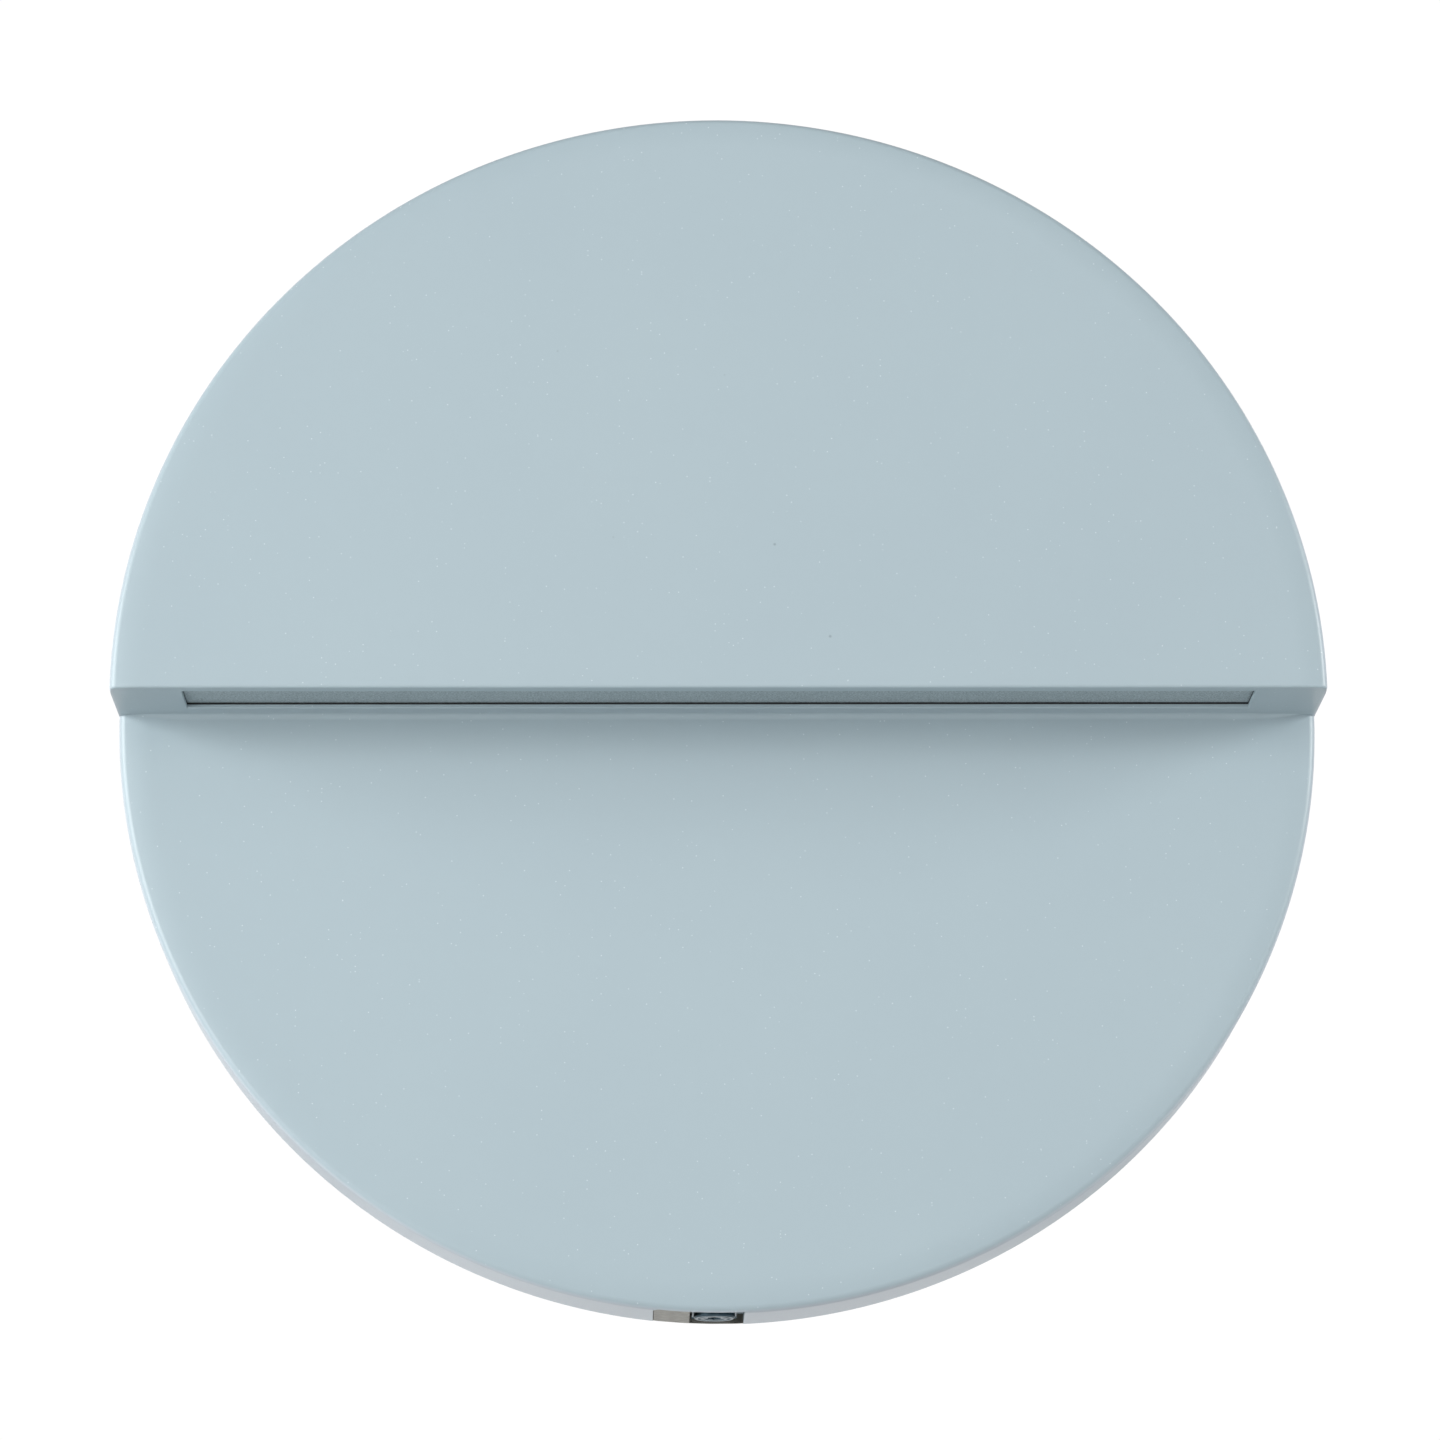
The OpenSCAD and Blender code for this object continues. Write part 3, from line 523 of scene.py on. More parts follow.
@dataclass
class Workpiece:
    """A mesh being shaped, in millimetres, lying on the wall."""

    bm: bmesh.types.BMesh = field(default_factory=bmesh.new)

    def block(self, low: Point, high: Point) -> list[bmesh.types.BMVert]:
        """Adds a block between two corners and returns its vertices."""
        size = [b - a for a, b in zip(low, high)]
        middle = [(a + b) / 2 for a, b in zip(low, high)]
        place = Matrix.Translation(middle) @ Matrix.Diagonal((*size, 1.0))
        return bmesh.ops.create_cube(self.bm, size=1.0, matrix=place)["verts"]

    def column(self, base: Point, radius: float, height: float, turn: Turn = Turn.OUT,
               top: float | None = None, sides: int = 40) -> None:
        """Adds a round or many-sided column.

        Args:
            base: the middle of its foot.
            radius: the radius of its foot.
            height: its height.
            turn: the way it points.
            top: the radius of its top, where that differs.
            sides: how many sides it has.
        """
        place = Matrix.Translation(base) @ turn.value @ Matrix.Translation((0, 0, height / 2))
        bmesh.ops.create_cone(
            self.bm, cap_ends=True, cap_tris=False, segments=sides, radius1=radius,
            radius2=radius if top is None else top, depth=height, matrix=place)

    def turned(self, profile: Sequence[Flat], place: Matrix = Turn.OUT.value,
               sides: int = 64) -> None:
        """Spins a profile of radius and height right round, and places it."""
        verts = [self.bm.verts.new(place @ Vector((r, 0.0, z))) for r, z in profile]
        edges = [self.bm.edges.new(pair) for pair in zip(verts, verts[1:])]
        axis = (place.to_3x3() @ Vector((0, 0, 1))).normalized()
        bmesh.ops.spin(self.bm, geom=verts + edges, cent=place.translation, axis=axis,
                       dvec=(0, 0, 0), angle=2 * math.pi, steps=sides,
                       use_merge=True, use_duplicate=False)
        self.weld()

    def bevel(self, edges: Iterable[bmesh.types.BMEdge], width: float, segments: int = 2
              ) -> None:
        """Rounds the given edges by a width."""
        bmesh.ops.bevel(self.bm, geom=list(edges), offset=width, segments=segments,
                        profile=0.5, affect="EDGES", material=-1, clamp_overlap=True)

    def sharp_edges(self, angle: float = 40.0, within: Iterable[bmesh.types.BMVert] | None = None
                    ) -> list[bmesh.types.BMEdge]:
        """Lists the edges where two faces meet more sharply than an angle in degrees."""
        own = None if within is None else set(within)
        return [e for e in self.bm.edges
                if len(e.link_faces) == 2 and e.calc_face_angle(0.0) > math.radians(angle)
                and (own is None or all(v in own for v in e.verts))]

    def weld(self, reach: float = MERGE_MM) -> None:
        """Joins vertices that lie on each other."""
        bmesh.ops.remove_doubles(self.bm, verts=self.bm.verts, dist=reach)

    def face_out(self) -> None:
        """Turns every face outwards."""
        bmesh.ops.recalc_face_normals(self.bm, faces=self.bm.faces)

    def solid(self, name: str) -> bpy.types.Object:
        """Makes a plain object of the mesh, still in millimetres and lying."""
        self.face_out()
        mesh = bpy.data.meshes.new(name)
        self.bm.to_mesh(mesh)
        self.bm.free()
        made = bpy.data.objects.new(name, mesh)
        bpy.context.scene.collection.objects.link(made)
        return made


def work_with(target: bpy.types.Object, tool: Workpiece, how: Cut) -> None:
    """Cuts a solid with another one, or joins them, and clears the tool away.

    Args:
        target: the solid that is changed.
        tool: the other solid, which is used up.
        how: whether the tool is cut away or joined on.
    """
    cutter = tool.solid("tool")
    act = target.modifiers.new("work", "BOOLEAN")
    act.operation = how.value
    act.solver = "EXACT"
    act.object = cutter
    bpy.context.view_layer.update()
    graph = bpy.context.evaluated_depsgraph_get()
    mesh = bpy.data.meshes.new_from_object(target.evaluated_get(graph))
    target.modifiers.clear()
    target.data, old = mesh, target.data
    bpy.data.meshes.remove(old)
    used = cutter.data
    bpy.data.objects.remove(cutter)
    bpy.data.meshes.remove(used)


@dataclass
class Workshop:
    """What every sub-assembly shares: the fixed frame and the made materials."""

    frame: dict
    materials: dict[str, bpy.types.Material] = field(default_factory=dict)

    def __post_init__(self) -> None:
        """Makes each finish once."""
        self.materials = {slot: finish.material() for slot, finish in FINISHES.items()}

    def dress_nodes(self) -> None:
        """Gives every node of the frame the finish that its record names."""
        for part in self.frame["record"]["subparts"]:
            mesh = self.frame["nodes"][part["node"]].data
            mesh.materials.clear()
            mesh.materials.append(self.materials[part["material_slot"]])

    def slot_of(self, node: str) -> str:
        """Returns the material slot that the record gives a node."""
        return next(part["material_slot"] for part in self.frame["record"]["subparts"]
                    if part["node"] == node)

    def hand_over(self, made: bpy.types.Object, name: str, body: str,
                  stands_for: Sequence[str] = (), slot: str | None = None) -> None:
        """Finishes a piece: its place, shading, material, body and nodes.

        Args:
            made: the piece, in millimetres and lying on the wall.
            name: its name.
            body: the body that it rides on.
            stands_for: the nodes that it replaces.
            slot: its material slot, by default the one of the first node.
        """
        made.name = name
        made.data.name = name
        made.data.transform(STAND_UP)
        made.data.shade_smooth()
        made.data.set_sharp_from_angle(angle=SMOOTH_ANGLE)
        even = made.modifiers.new("even_normals", "WEIGHTED_NORMAL")
        even.keep_sharp = True
        even.weight = 100
        chosen = slot or self.slot_of(stands_for[0])
        made.data.materials.clear()
        made.data.materials.append(self.materials[chosen])
        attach(made, body)
        if stands_for:
            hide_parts(*stands_for)
        LOG.info("%s: %d faces, on %s", name, len(made.data.polygons), body)

    def soften(self, node: str, name: str, body: str, width: float, segments: int = 2
               ) -> None:
        """Makes a copy of a node with its sharp outer edges rounded.

        Args:
            node: the node that the copy stands for.
            name: the copy's name.
            body: the body that it rides on.
            width: the width of the rounding in millimetres.
            segments: how many steps the rounding has.
        """
        piece = Workpiece()
        piece.bm.from_mesh(self.frame["nodes"][node].data)
        bmesh.ops.transform(piece.bm, matrix=STAND_UP.inverted(), verts=piece.bm.verts)
        piece.weld(0.002)
        bmesh.ops.dissolve_limit(piece.bm, angle_limit=math.radians(0.5),
                                 verts=piece.bm.verts, edges=piece.bm.edges)
        piece.bevel([e for e in piece.sharp_edges() if e.is_convex], width, segments)
        mesh = bpy.data.meshes.new(name)
        piece.bm.to_mesh(mesh)
        piece.bm.free()
        made = bpy.data.objects.new(name, mesh)
        bpy.context.scene.collection.objects.link(made)
        self.hand_over(made, name, body, [node])

    def soften_rows(self, body: str, *rows: tuple[str, str, float]) -> None:
        """Softens nodes of one body; a row holds a node, how it was made, and a width."""
        for node, made_by, width in rows:
            self.soften(node, f"{node}_{made_by}", body, width)


@dataclass
class CoverAssembly:
    """The cast cover: a half-moon hood over a full disc, with the light slot's opening."""

    radius: float = 100.0
    back: float = 0.6
    lower: float = 14.8
    hood: float = 32.0
    step: float = 0.3
    wall: float = 2.2
    roll_width: float = 4.0
    roll_drop: float = 0.35
    edge_radius: float = 1.45
    step_edge: float = 0.45
    junction: float = 1.1
    sides: int = 288
    slot: tuple[float, float, float] = (88.25, 18.9, 29.5)
    ledge: tuple[float, float, float] = (90.25, 16.9, 29.8)
    ledge_y: float = 0.9
    boss_x: tuple[float, float, float] = (-70.0, 0.0, 70.0)
    boss_y: float = 25.35
    boss_foot: float = 25.8
    boss_radius: Flat = (3.4, 3.7)
    boss_hole: float = 1.5
    post: Flat = (72.0, 38.0)
    post_foot: float = 7.3
    post_radius: float = 4.5
    post_hole: float = 2.05
    inner_cut: float = 0.8
    slot_flare: float = 0.14
    notch: Flat = (-11.0, 1.9)
    notch_top: float = 13.6
    notch_in: float = 7.2
    notch_corner: float = 1.0
    seat_right: float = 3.9
    seat_in: float = 98.2

    def build(self, shop: Workshop) -> None:
        """Builds the cover and hands it over."""
        made = self._outside().solid("front_cover_shell")
        work_with(made, self._junction(), Cut.JOIN)
        for tool in self._hollows():
            work_with(made, tool, Cut.AWAY)
        for tool in self._posts():
            work_with(made, tool, Cut.JOIN)
        for tool in self._openings():
            work_with(made, tool, Cut.AWAY)
        shop.hand_over(made, "front_cover_coated", "cover", ["front_cover"])

    def _edge(self, height: float) -> list[Flat]:
        """Returns the rounded outer edge of a disc of a height, from its face to its side."""
        start = self.radius - self.roll_width - self.edge_radius * (
            1 - math.sin(self._roll_slope()))
        roll = [(start + self.roll_width * t, height - self.roll_drop * t * t)
                for t in (0.0, 0.25, 0.5, 0.75, 1.0)]
        slope = self._roll_slope()
        turn = [slope + (math.pi / 2 - slope) * k / 6 for k in range(1, 7)]
        middle = (self.radius - self.edge_radius,
                  height - self.roll_drop - self.edge_radius * math.cos(slope))
        arc = [(middle[0] + self.edge_radius * math.sin(a),
                middle[1] + self.edge_radius * math.cos(a)) for a in turn]
        return roll + arc

    def _roll_slope(self) -> float:
        """Returns the angle at which the soft roll meets the tight edge."""
        return math.atan(2 * self.roll_drop / self.roll_width)

    def _outside(self) -> Workpiece:
        """Shapes the outside: two half discs of different heights and the step between."""
        piece = Workpiece()
        lower_edge = self._edge(self.lower)
        side = lower_edge[-1][1]
        foot = [(self.radius, self.back + 0.3), (self.radius - 0.3, self.back),
                (self.radius - 8, self.back)]
        halves = ((lower_edge, 1.0), (self._edge(self.hood) + [(self.radius, side)], -1.0))
        for profile, keep in halves:
            half = Workpiece()
            half.turned([*profile, *foot], sides=self.sides)
            bmesh.ops.bisect_plane(
                half.bm, geom=[*half.bm.verts, *half.bm.edges, *half.bm.faces],
                dist=MERGE_MM, plane_co=(0, self.step, 0), plane_no=(0, keep, 0),
                clear_outer=True)
            self._close_face(half, *profile[0])
            mesh = bpy.data.meshes.new("half")
            half.bm.to_mesh(mesh)
            half.bm.free()
            piece.bm.from_mesh(mesh)
            bpy.data.meshes.remove(mesh)
        piece.weld(0.003)
        self._close_loops(piece)
        piece.face_out()
        self._round_step(piece)
        return piece

    def _close_face(self, half: Workpiece, radius: float, height: float) -> None:
        """Closes the flat front face of a half disc with one face."""
        rim = [v for v in half.bm.verts
               if abs(v.co.z - height) < 0.001 and v.co.xy.length < radius + 0.02]
        half.bm.edges.new([v for v in rim if abs(v.co.y - self.step) < 0.002])
        loop = [e for e in half.bm.edges if e.is_boundary or e.is_wire]
        flat = [e for e in loop if all(v in set(rim) for v in e.verts)]
        bmesh.ops.edgeloop_fill(half.bm, edges=flat)

    @staticmethod
    def _close_loops(piece: Workpiece) -> None:
        """Closes what is left open: the step's underside and the foot."""
        bmesh.ops.holes_fill(piece.bm, edges=[e for e in piece.bm.edges if e.is_boundary],
                             sides=0)

    def _round_step(self, piece: Workpiece) -> None:
        """Rounds the outline of the step."""
        def on_step(edge: bmesh.types.BMEdge) -> bool:
            """Tells whether an edge lies in the plane of the step."""
            return all(abs(v.co.y - self.step) < 0.002 for v in edge.verts)

        outline = [e for e in piece.bm.edges
                   if on_step(e) and min(v.co.z for v in e.verts) > self.lower + 0.2]
        piece.bevel(outline, self.step_edge, 4)

    def _junction(self) -> Workpiece:
        """Returns the fillet at the step's foot, which fades out towards both ends."""
        r, depth = self.junction, 0.4
        arc = [(self.step - r + r * math.cos(a), self.lower + r - r * math.sin(a))
               for a in (math.pi * k / 12 for k in range(7))]
        outline = [(self.step + depth, self.lower - depth), (self.step + depth, self.lower + r),
                   *arc, (self.step - r, self.lower - depth)]
        fade = ((97.4, 0.10), (96.0, 0.32), (94.0, 0.68), (91.0, 0.92), (87.0, 1.0))
        stations = [(-x, size) for x, size in fade] + list(reversed(fade))
        strip = Workpiece()
        ring = [strip.bm.verts.new((0.0, y, z)) for y, z in outline]
        face = strip.bm.faces.new(ring)
        last_x, last_size = 0.0, 1.0
        foot = Matrix.Translation((0, -self.step, -self.lower))
        for count, (x, size) in enumerate(stations):
            if count:
                pushed = bmesh.ops.extrude_face_region(strip.bm, geom=[face])["geom"]
                ring = [g for g in pushed if isinstance(g, bmesh.types.BMVert)]
                old, face = face, next(g for g in pushed if isinstance(g, bmesh.types.BMFace))
                if count > 1:
                    bmesh.ops.delete(strip.bm, geom=[old], context="FACES_ONLY")
            grow = size / last_size
            bmesh.ops.scale(strip.bm, vec=(1, grow, grow), space=foot, verts=ring)
            bmesh.ops.translate(strip.bm, vec=(x - last_x, 0, 0), verts=ring)
            last_x, last_size = x, size
        return strip

    def _hollows(self) -> list[Workpiece]:
        """Returns what is cut out of the inside: the disc and the hood."""
        inner = self.radius - self.wall
        cut = self.inner_cut
        disc = Workpiece()
        disc.turned([(0, -1), (inner, -1), (inner, self.lower - self.wall - cut),
                     (inner - cut, self.lower - self.wall), (0, self.lower - self.wall)],
                    sides=self.sides // 2)
        hood = Workpiece()
        inner -= 0.02
        hood.turned([(0, 4), (inner, 4), (inner, self.hood - self.wall - cut),
                     (inner - cut, self.hood - self.wall), (0, self.hood - self.wall)],
                    sides=self.sides // 2)
        bmesh.ops.bisect_plane(
            hood.bm, geom=[*hood.bm.verts, *hood.bm.edges, *hood.bm.faces], dist=MERGE_MM,
            plane_co=(0, self.step + self.wall, 0), plane_no=(0, -1, 0), clear_outer=True)
        bmesh.ops.holes_fill(hood.bm, edges=[e for e in hood.bm.edges if e.is_boundary],
                             sides=0)
        return [disc, hood]

    def _posts(self) -> list[Workpiece]:
        """Returns the bosses for the bracket's screws and the guide posts."""
        roof = self.hood - self.wall + 0.5
        made = []
        for x in self.boss_x:
            boss = Workpiece()
            tip, root = self.boss_radius
            boss.column((x, self.boss_y, self.boss_foot), tip, roof - self.boss_foot, top=root)
            made.append(boss)
        for side in (-1, 1):
            post = Workpiece()
            post.column((side * self.post[0], self.post[1], self.post_foot),
                        self.post_radius, roof - self.post_foot)
            made.append(post)
        return made

    def _openings(self) -> list[Workpiece]:
        """Returns the slot, its chamfer, the ledge, the holes, the notch and the seat."""
        half, low, high = self.slot
        slot = Workpiece()
        slot.block((-half, self.step - 1, low), (half, self.step + self.wall + 1, high))
        flare = Workpiece()
        grown = self.slot_flare
        wide = flare.block((-half, self.step - grown, low), (half, self.step + grown, high))
        for v in wide:
            if v.co.y < self.step:
                v.co.x += math.copysign(2 * grown, v.co.x)
                v.co.z += math.copysign(2 * grown, v.co.z - (low + high) / 2)
        ledge = Workpiece()
        half, low, high = self.ledge
        ledge.block((-half, self.ledge_y, low), (half, self.step + self.wall + 1, high))
        made = [slot, flare, ledge]
        for x in self.boss_x:
            hole = Workpiece()
            hole.column((x, self.boss_y, self.boss_foot - 1), self.boss_hole, 5)
            made.append(hole)
        for side in (-1, 1):
            hole = Workpiece()
            hole.column((side * self.post[0], self.post[1], 6), self.post_hole, 11.5)
            made.append(hole)
        return made + self._notch()

    def _notch(self) -> list[Workpiece]:
        """Returns the rim's notch, open towards the wall, and the seat of the lock plate."""
        left, right = self.notch
        notch = Workpiece()
        body = notch.block((left, -self.radius - 1, -1),
                           (right, -self.radius + self.notch_in, self.notch_top))
        notch.bevel([e for e in notch.sharp_edges(within=body)
                     if all(v.co.z > 0 for v in e.verts)
                     and abs(e.verts[0].co.x - e.verts[1].co.x) < 0.1
                     and abs(e.verts[0].co.z - e.verts[1].co.z) < 0.1], self.notch_corner, 5)
        seat = Workpiece()
        seat.block((left + 2, -self.radius - 1, -1),
                   (self.seat_right, -self.seat_in, self.notch_top))
        return [notch, seat]


@dataclass
class Lock:
    """The locking screw and its plate, which clamp the cover's rim to the back plate."""

    x: float = -0.95
    z: float = 7.2
    out: float = 99.95
    head_height: float = 0.85
    head_radius: float = 3.4
    shank_radius: float = 2.0
    tip: float = 90.1
    pitch: float = 0.7
    plate: tuple[Point, Point] = ((-4.7, -99.1, 0.8), (2.8, -98.3, 13.3))
    plate_edge: float = 0.22
    channel_z: Flat = (2.3, 12.1)
    channel_radius: float = 0.75
    channel_lift: float = 0.42
    socket: float = 1.25

    def build(self, shop: Workshop) -> None:
        """Builds the screw and its plate."""
        self._plate(shop)
        self._screw(shop)

    def _plate(self, shop: Workshop) -> None:
        """Builds the plate: stamped, with softened edges and two pressed channels across."""
        plate = Workpiece()
        low, high = self.plate
        plate.block(low, high)
        plate.bevel(plate.sharp_edges(), self.plate_edge, 3)
        made = plate.solid("lock_plate_blank")
        hole = Workpiece()
        hole.column((self.x, low[1] - 1, self.z), self.shank_radius + 0.1, 4, Turn.UP)
        work_with(made, hole, Cut.AWAY)
        for z in self.channel_z:
            channel = Workpiece()
            channel.column((low[0] - 1, low[1] - self.channel_lift, z), self.channel_radius,
                           high[0] - low[0] + 2, Turn.RIGHT, sides=24)
            work_with(made, channel, Cut.AWAY)
        shop.hand_over(made, "lock_plate_stamped", "lock", ["lock_plate"])

    def _screw(self, shop: Workshop) -> None:
        """Builds the screw: a low ringed head with a socket, and a threaded shank."""
        face = self.head_height
        under = self.tip - self.out + face
        profile = [(0, under), (self.shank_radius - 0.6, under)]
        level = under + 0.5
        while level < -1.2:
            profile += [(self.shank_radius, level + 0.18),
                        (self.shank_radius - 0.32, level + 0.53)]
            level += self.pitch
        neck = self.shank_radius - 0.2
        rim = self.head_radius
        profile += [(neck, -0.4), (neck, 0.0), (rim - 0.1, 0.0), (rim, 0.1),
                    (rim, face - 0.25), (rim - 0.25, face), (2.75, face),
                    (2.62, face - 0.12), (2.42, face - 0.12), (2.3, face),
                    (1.8, face), (1.7, face - 0.08), (0, face - 0.08)]
        screw = Workpiece()
        place = Matrix.Translation((self.x, -(self.out - face), self.z)) @ Turn.DOWN.value
        screw.turned(profile, place, sides=48)
        made = screw.solid("locking_screw_turned")
        socket = Workpiece()
        socket.column((self.x, -(self.out - 0.55), self.z), self.socket, 3, Turn.DOWN, sides=6)
        work_with(made, socket, Cut.AWAY)
        shop.hand_over(made, "locking_screw_blackened", "lock", ["locking_screw"])


@dataclass
class LightEngine:
    """The diffuser, the bracket, the chips of the LED board, and its leads in the hood."""

    half: float = 90.1
    low: float = 17.05
    high: float = 29.65
    under: float = 1.25
    top: float = 4.25
    chips: int = 24
    chip_half: float = 1.4
    chip_height: float = 0.7
    chip_rim: float = 0.35
    chip_slope: float = 0.15
    chip_depth: float = 0.2
    drop_radius: Flat = (0.85, 0.55)
    lead_radius: float = 0.75
    lead_rise: float = 18.3
    board_hole: Point = (83.3, 15.95, 23.35)

    def build(self, shop: Workshop) -> None:
        """Builds the engine's pieces and hands them over."""
        self._diffuser(shop)
        shop.soften_rows(
            "cover", ("led_bracket", "extruded", 0.12), ("bracket_end_caps", "moulded", 0.2),
            ("led_socket", "moulded", 0.15), ("bracket_screws", "plated", 0.1))
        self._chips(shop)
        self._leads(shop)

    def _diffuser(self, shop: Workshop) -> None:
        """Builds the diffuser: a sheet with rounded edges."""
        sheet = Workpiece()
        body = sheet.block((-self.half, self.under, self.low), (self.half, self.top, self.high))
        sheet.bevel(sheet.sharp_edges(within=body), 0.2, 2)
        made = sheet.solid("diffuser_sheet")
        shop.hand_over(made, "diffuser_frosted", "cover", ["diffuser"])

    def _chips(self, shop: Workshop) -> None:
        """Builds the LED chips: white packages, each with a drop of phosphor."""
        low, high = (v * PER_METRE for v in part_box("led_chips"))
        half = self.chip_half
        pitch = (high.x - low.x - 2 * half) / (self.chips - 1)
        under, middle = low.z, -(low.y + high.y) / 2
        packages = Workpiece()
        drops = Workpiece()
        for i in range(self.chips):
            x = low.x + half + i * pitch
            case = packages.block((x - half, under, middle - half),
                                  (x + half, under + self.chip_height, middle + half))
            own = {face for vert in case for face in vert.link_faces}
            floor = next(face for face in own if face.normal.y < -0.9)
            for inward, upward in ((self.chip_rim, 0), (self.chip_slope, -self.chip_depth)):
                bmesh.ops.inset_region(packages.bm, faces=[floor], thickness=inward,
                                       depth=upward)
            wide, narrow = self.drop_radius
            drops.column((x, under + 0.25, middle), wide, self.chip_depth, Turn.DOWN,
                         top=narrow, sides=16)
        shop.hand_over(packages.solid("chips"), "led_chip_packages", "cover", ["led_chips"],
                       "white_plastic")
        shop.hand_over(drops.solid("drops"), "led_chip_phosphor", "cover", (), "led_phosphor")

    def _leads(self, shop: Workshop) -> None:
        """Builds the two leads from the socket to the board."""
        for side, node, name in ((1, "led_lead_positive", "led_lead_red"),
                                 (-1, "led_lead_negative", "led_lead_black")):
            rise = self.lead_rise
            middle, down, level = self.board_hole
            hole = middle + side * 1.5
            route = [(56, 25.35 + side, rise), (60, 25.35 + side, rise),
                     (66, 24.35 + side, rise + 1), (hole - 4, 21.75 + side, level),
                     (hole, 20.75, level), (hole, 17.75, level), (hole, down, level)]
            shop.hand_over(lead(route, self.lead_radius).solid(name), name, "cover", [node])


def lead(route: Sequence[Point], radius: float, sides: int = 14, lay_mm: float = 9.0
         ) -> Workpiece:
    """Sweeps an insulated lead along a route, and keeps the stripe that winds round it.

    Args:
        route: the points that the lead passes, in millimetres.
        radius: its radius.
        sides: how many sides its section has.
        lay_mm: the length in which its stripe winds round once.

    Returns:
        The lead.
    """
    piece = Workpiece()
    path = smooth_route(route, 6)
    start, end = Vector(route[1]) - Vector(route[0]), Vector(route[-1]) - Vector(route[-2])
    heads = [start, *(b - a for a, b in zip(path, path[2:])), end]
    stripe = piece.bm.verts.layers.float.new(LEAD_STRIPE)
    turn = heads[0].to_track_quat("Z", "X")
    ring = bmesh.ops.create_circle(
        piece.bm, cap_ends=True, segments=sides, radius=radius,
        matrix=Matrix.LocRotScale(path[0], turn, None))["verts"]
    edges = list(dict.fromkeys(e for v in ring for e in v.link_edges))
    gone = 0.0
    for i, at in enumerate(path):
        if i:
            swing = heads[i - 1].rotation_difference(heads[i])
            pushed = bmesh.ops.extrude_edge_only(piece.bm, edges=edges)["geom"]
            ring = [g for g in pushed if isinstance(g, bmesh.types.BMVert)]
            edges = [g for g in pushed if isinstance(g, bmesh.types.BMEdge)
                     and all(v in set(ring) for v in g.verts)]
            move = (Matrix.Translation(at) @ swing.to_matrix().to_4x4()
                    @ Matrix.Translation(-path[i - 1]))
            bmesh.ops.transform(piece.bm, matrix=move, verts=ring)
            turn = swing @ turn
            gone += (at - path[i - 1]).length
        for v in ring:
            local = turn.inverted() @ (v.co - at)
            angle = math.atan2(local.y, local.x) + 2 * math.pi * gone / lay_mm
            v[stripe] = 0.5 + 0.5 * math.sin(angle)
    bmesh.ops.edgeloop_fill(piece.bm, edges=edges)
    return piece


@dataclass
class BackPlate:
    """The cast back plate with its gasket, seal, grommet and guide pins."""

    def build(self, shop: Workshop) -> None:
        """Rounds the plate's edges as a casting has them, and the same for what it carries."""
        shop.soften_rows(
            "base", ("back_plate", "cast", 0.25), ("wall_gasket", "foam", 0.2),
            ("cable_grommet", "moulded", 0.25), ("guide_pins", "ground", 0.15))
        self._seal(shop)

    def _seal(self, shop: Workshop) -> None:
        """Rounds the cover's seal, a cord pressed into the flange's groove."""
        shop.soften("cover_seal", "cover_seal_cord", "base", 0.6, 3)


@dataclass
class Driver:
    """The LED driver in its case on the back plate."""

    half: float = 43.0
    low: float = 47.0
    high: float = 81.0
    top: float = 23.5
    lid: float = 1.8
    lid_corner: float = 2.0
    lid_edge: float = 0.5
    rim: float = 1.65
    rim_in: float = 3.1
    ribs: int = 9
    rib_pitch: float = 7.0
    rib_half: float = 1.2
    rib_end: float = 1.0

    def build(self, shop: Workshop) -> None:
        """Builds the case's pieces and the parts on its board."""
        shop.soften_rows(
            "base", ("driver_case", "moulded", 0.35), ("driver_board", "masked", 0.1),
            ("driver_transformer", "wound", 0.3))
        shop.soften("driver_capacitor", "driver_capacitors_sleeved", "base", 0.5, 3)
        shop.soften("driver_screws", "driver_screws_plated", "base", 0.1)
        self._lid(shop)

    def _lid(self, shop: Workshop) -> None:
        """Builds the lid: a rounded plate with cooling ribs sunk into it, and its inner rim."""
        lid = Workpiece()
        plate = lid.block((-self.half, self.low, self.top - self.lid),
                          (self.half, self.high, self.top))
        upright = [e for e in lid.sharp_edges(within=plate)
                   if abs(e.verts[0].co.z - e.verts[1].co.z) > 1]
        lid.bevel(upright, self.lid_corner, 6)
        lid.bevel([e for e in lid.sharp_edges() if all(v.co.z > self.top - 0.1 for v in e.verts)],
                  self.lid_edge, 3)
        made = lid.solid("driver_lid_plate")
        for i in range(self.ribs):
            groove = Workpiece()
            x = self.rib_pitch * (i - (self.ribs - 1) / 2)
            groove.block((x - self.rib_half, self.low + 6, self.top - 0.7),
                         (x + self.rib_half, self.high - 6, self.top + 1))
            groove.bevel([e for e in groove.sharp_edges()
                          if abs(e.verts[0].co.z - e.verts[1].co.z) > 1], self.rib_end, 4)
            work_with(made, groove, Cut.AWAY)
        rim = Workpiece()
        rim.block((-self.half + self.rim, self.low + self.rim, self.top - 3.8),
                  (self.half - self.rim, self.high - self.rim, self.top - 1.7))
        hollow = Workpiece()
        hollow.block((-self.half + self.rim_in, self.low + self.rim_in, self.top - 5),
                     (self.half - self.rim_in, self.high - self.rim_in, self.top - self.lid))
        work_with(made, rim, Cut.JOIN)
        work_with(made, hollow, Cut.AWAY)
        shop.hand_over(made, "driver_lid_ribbed", "base", ["driver_lid"])


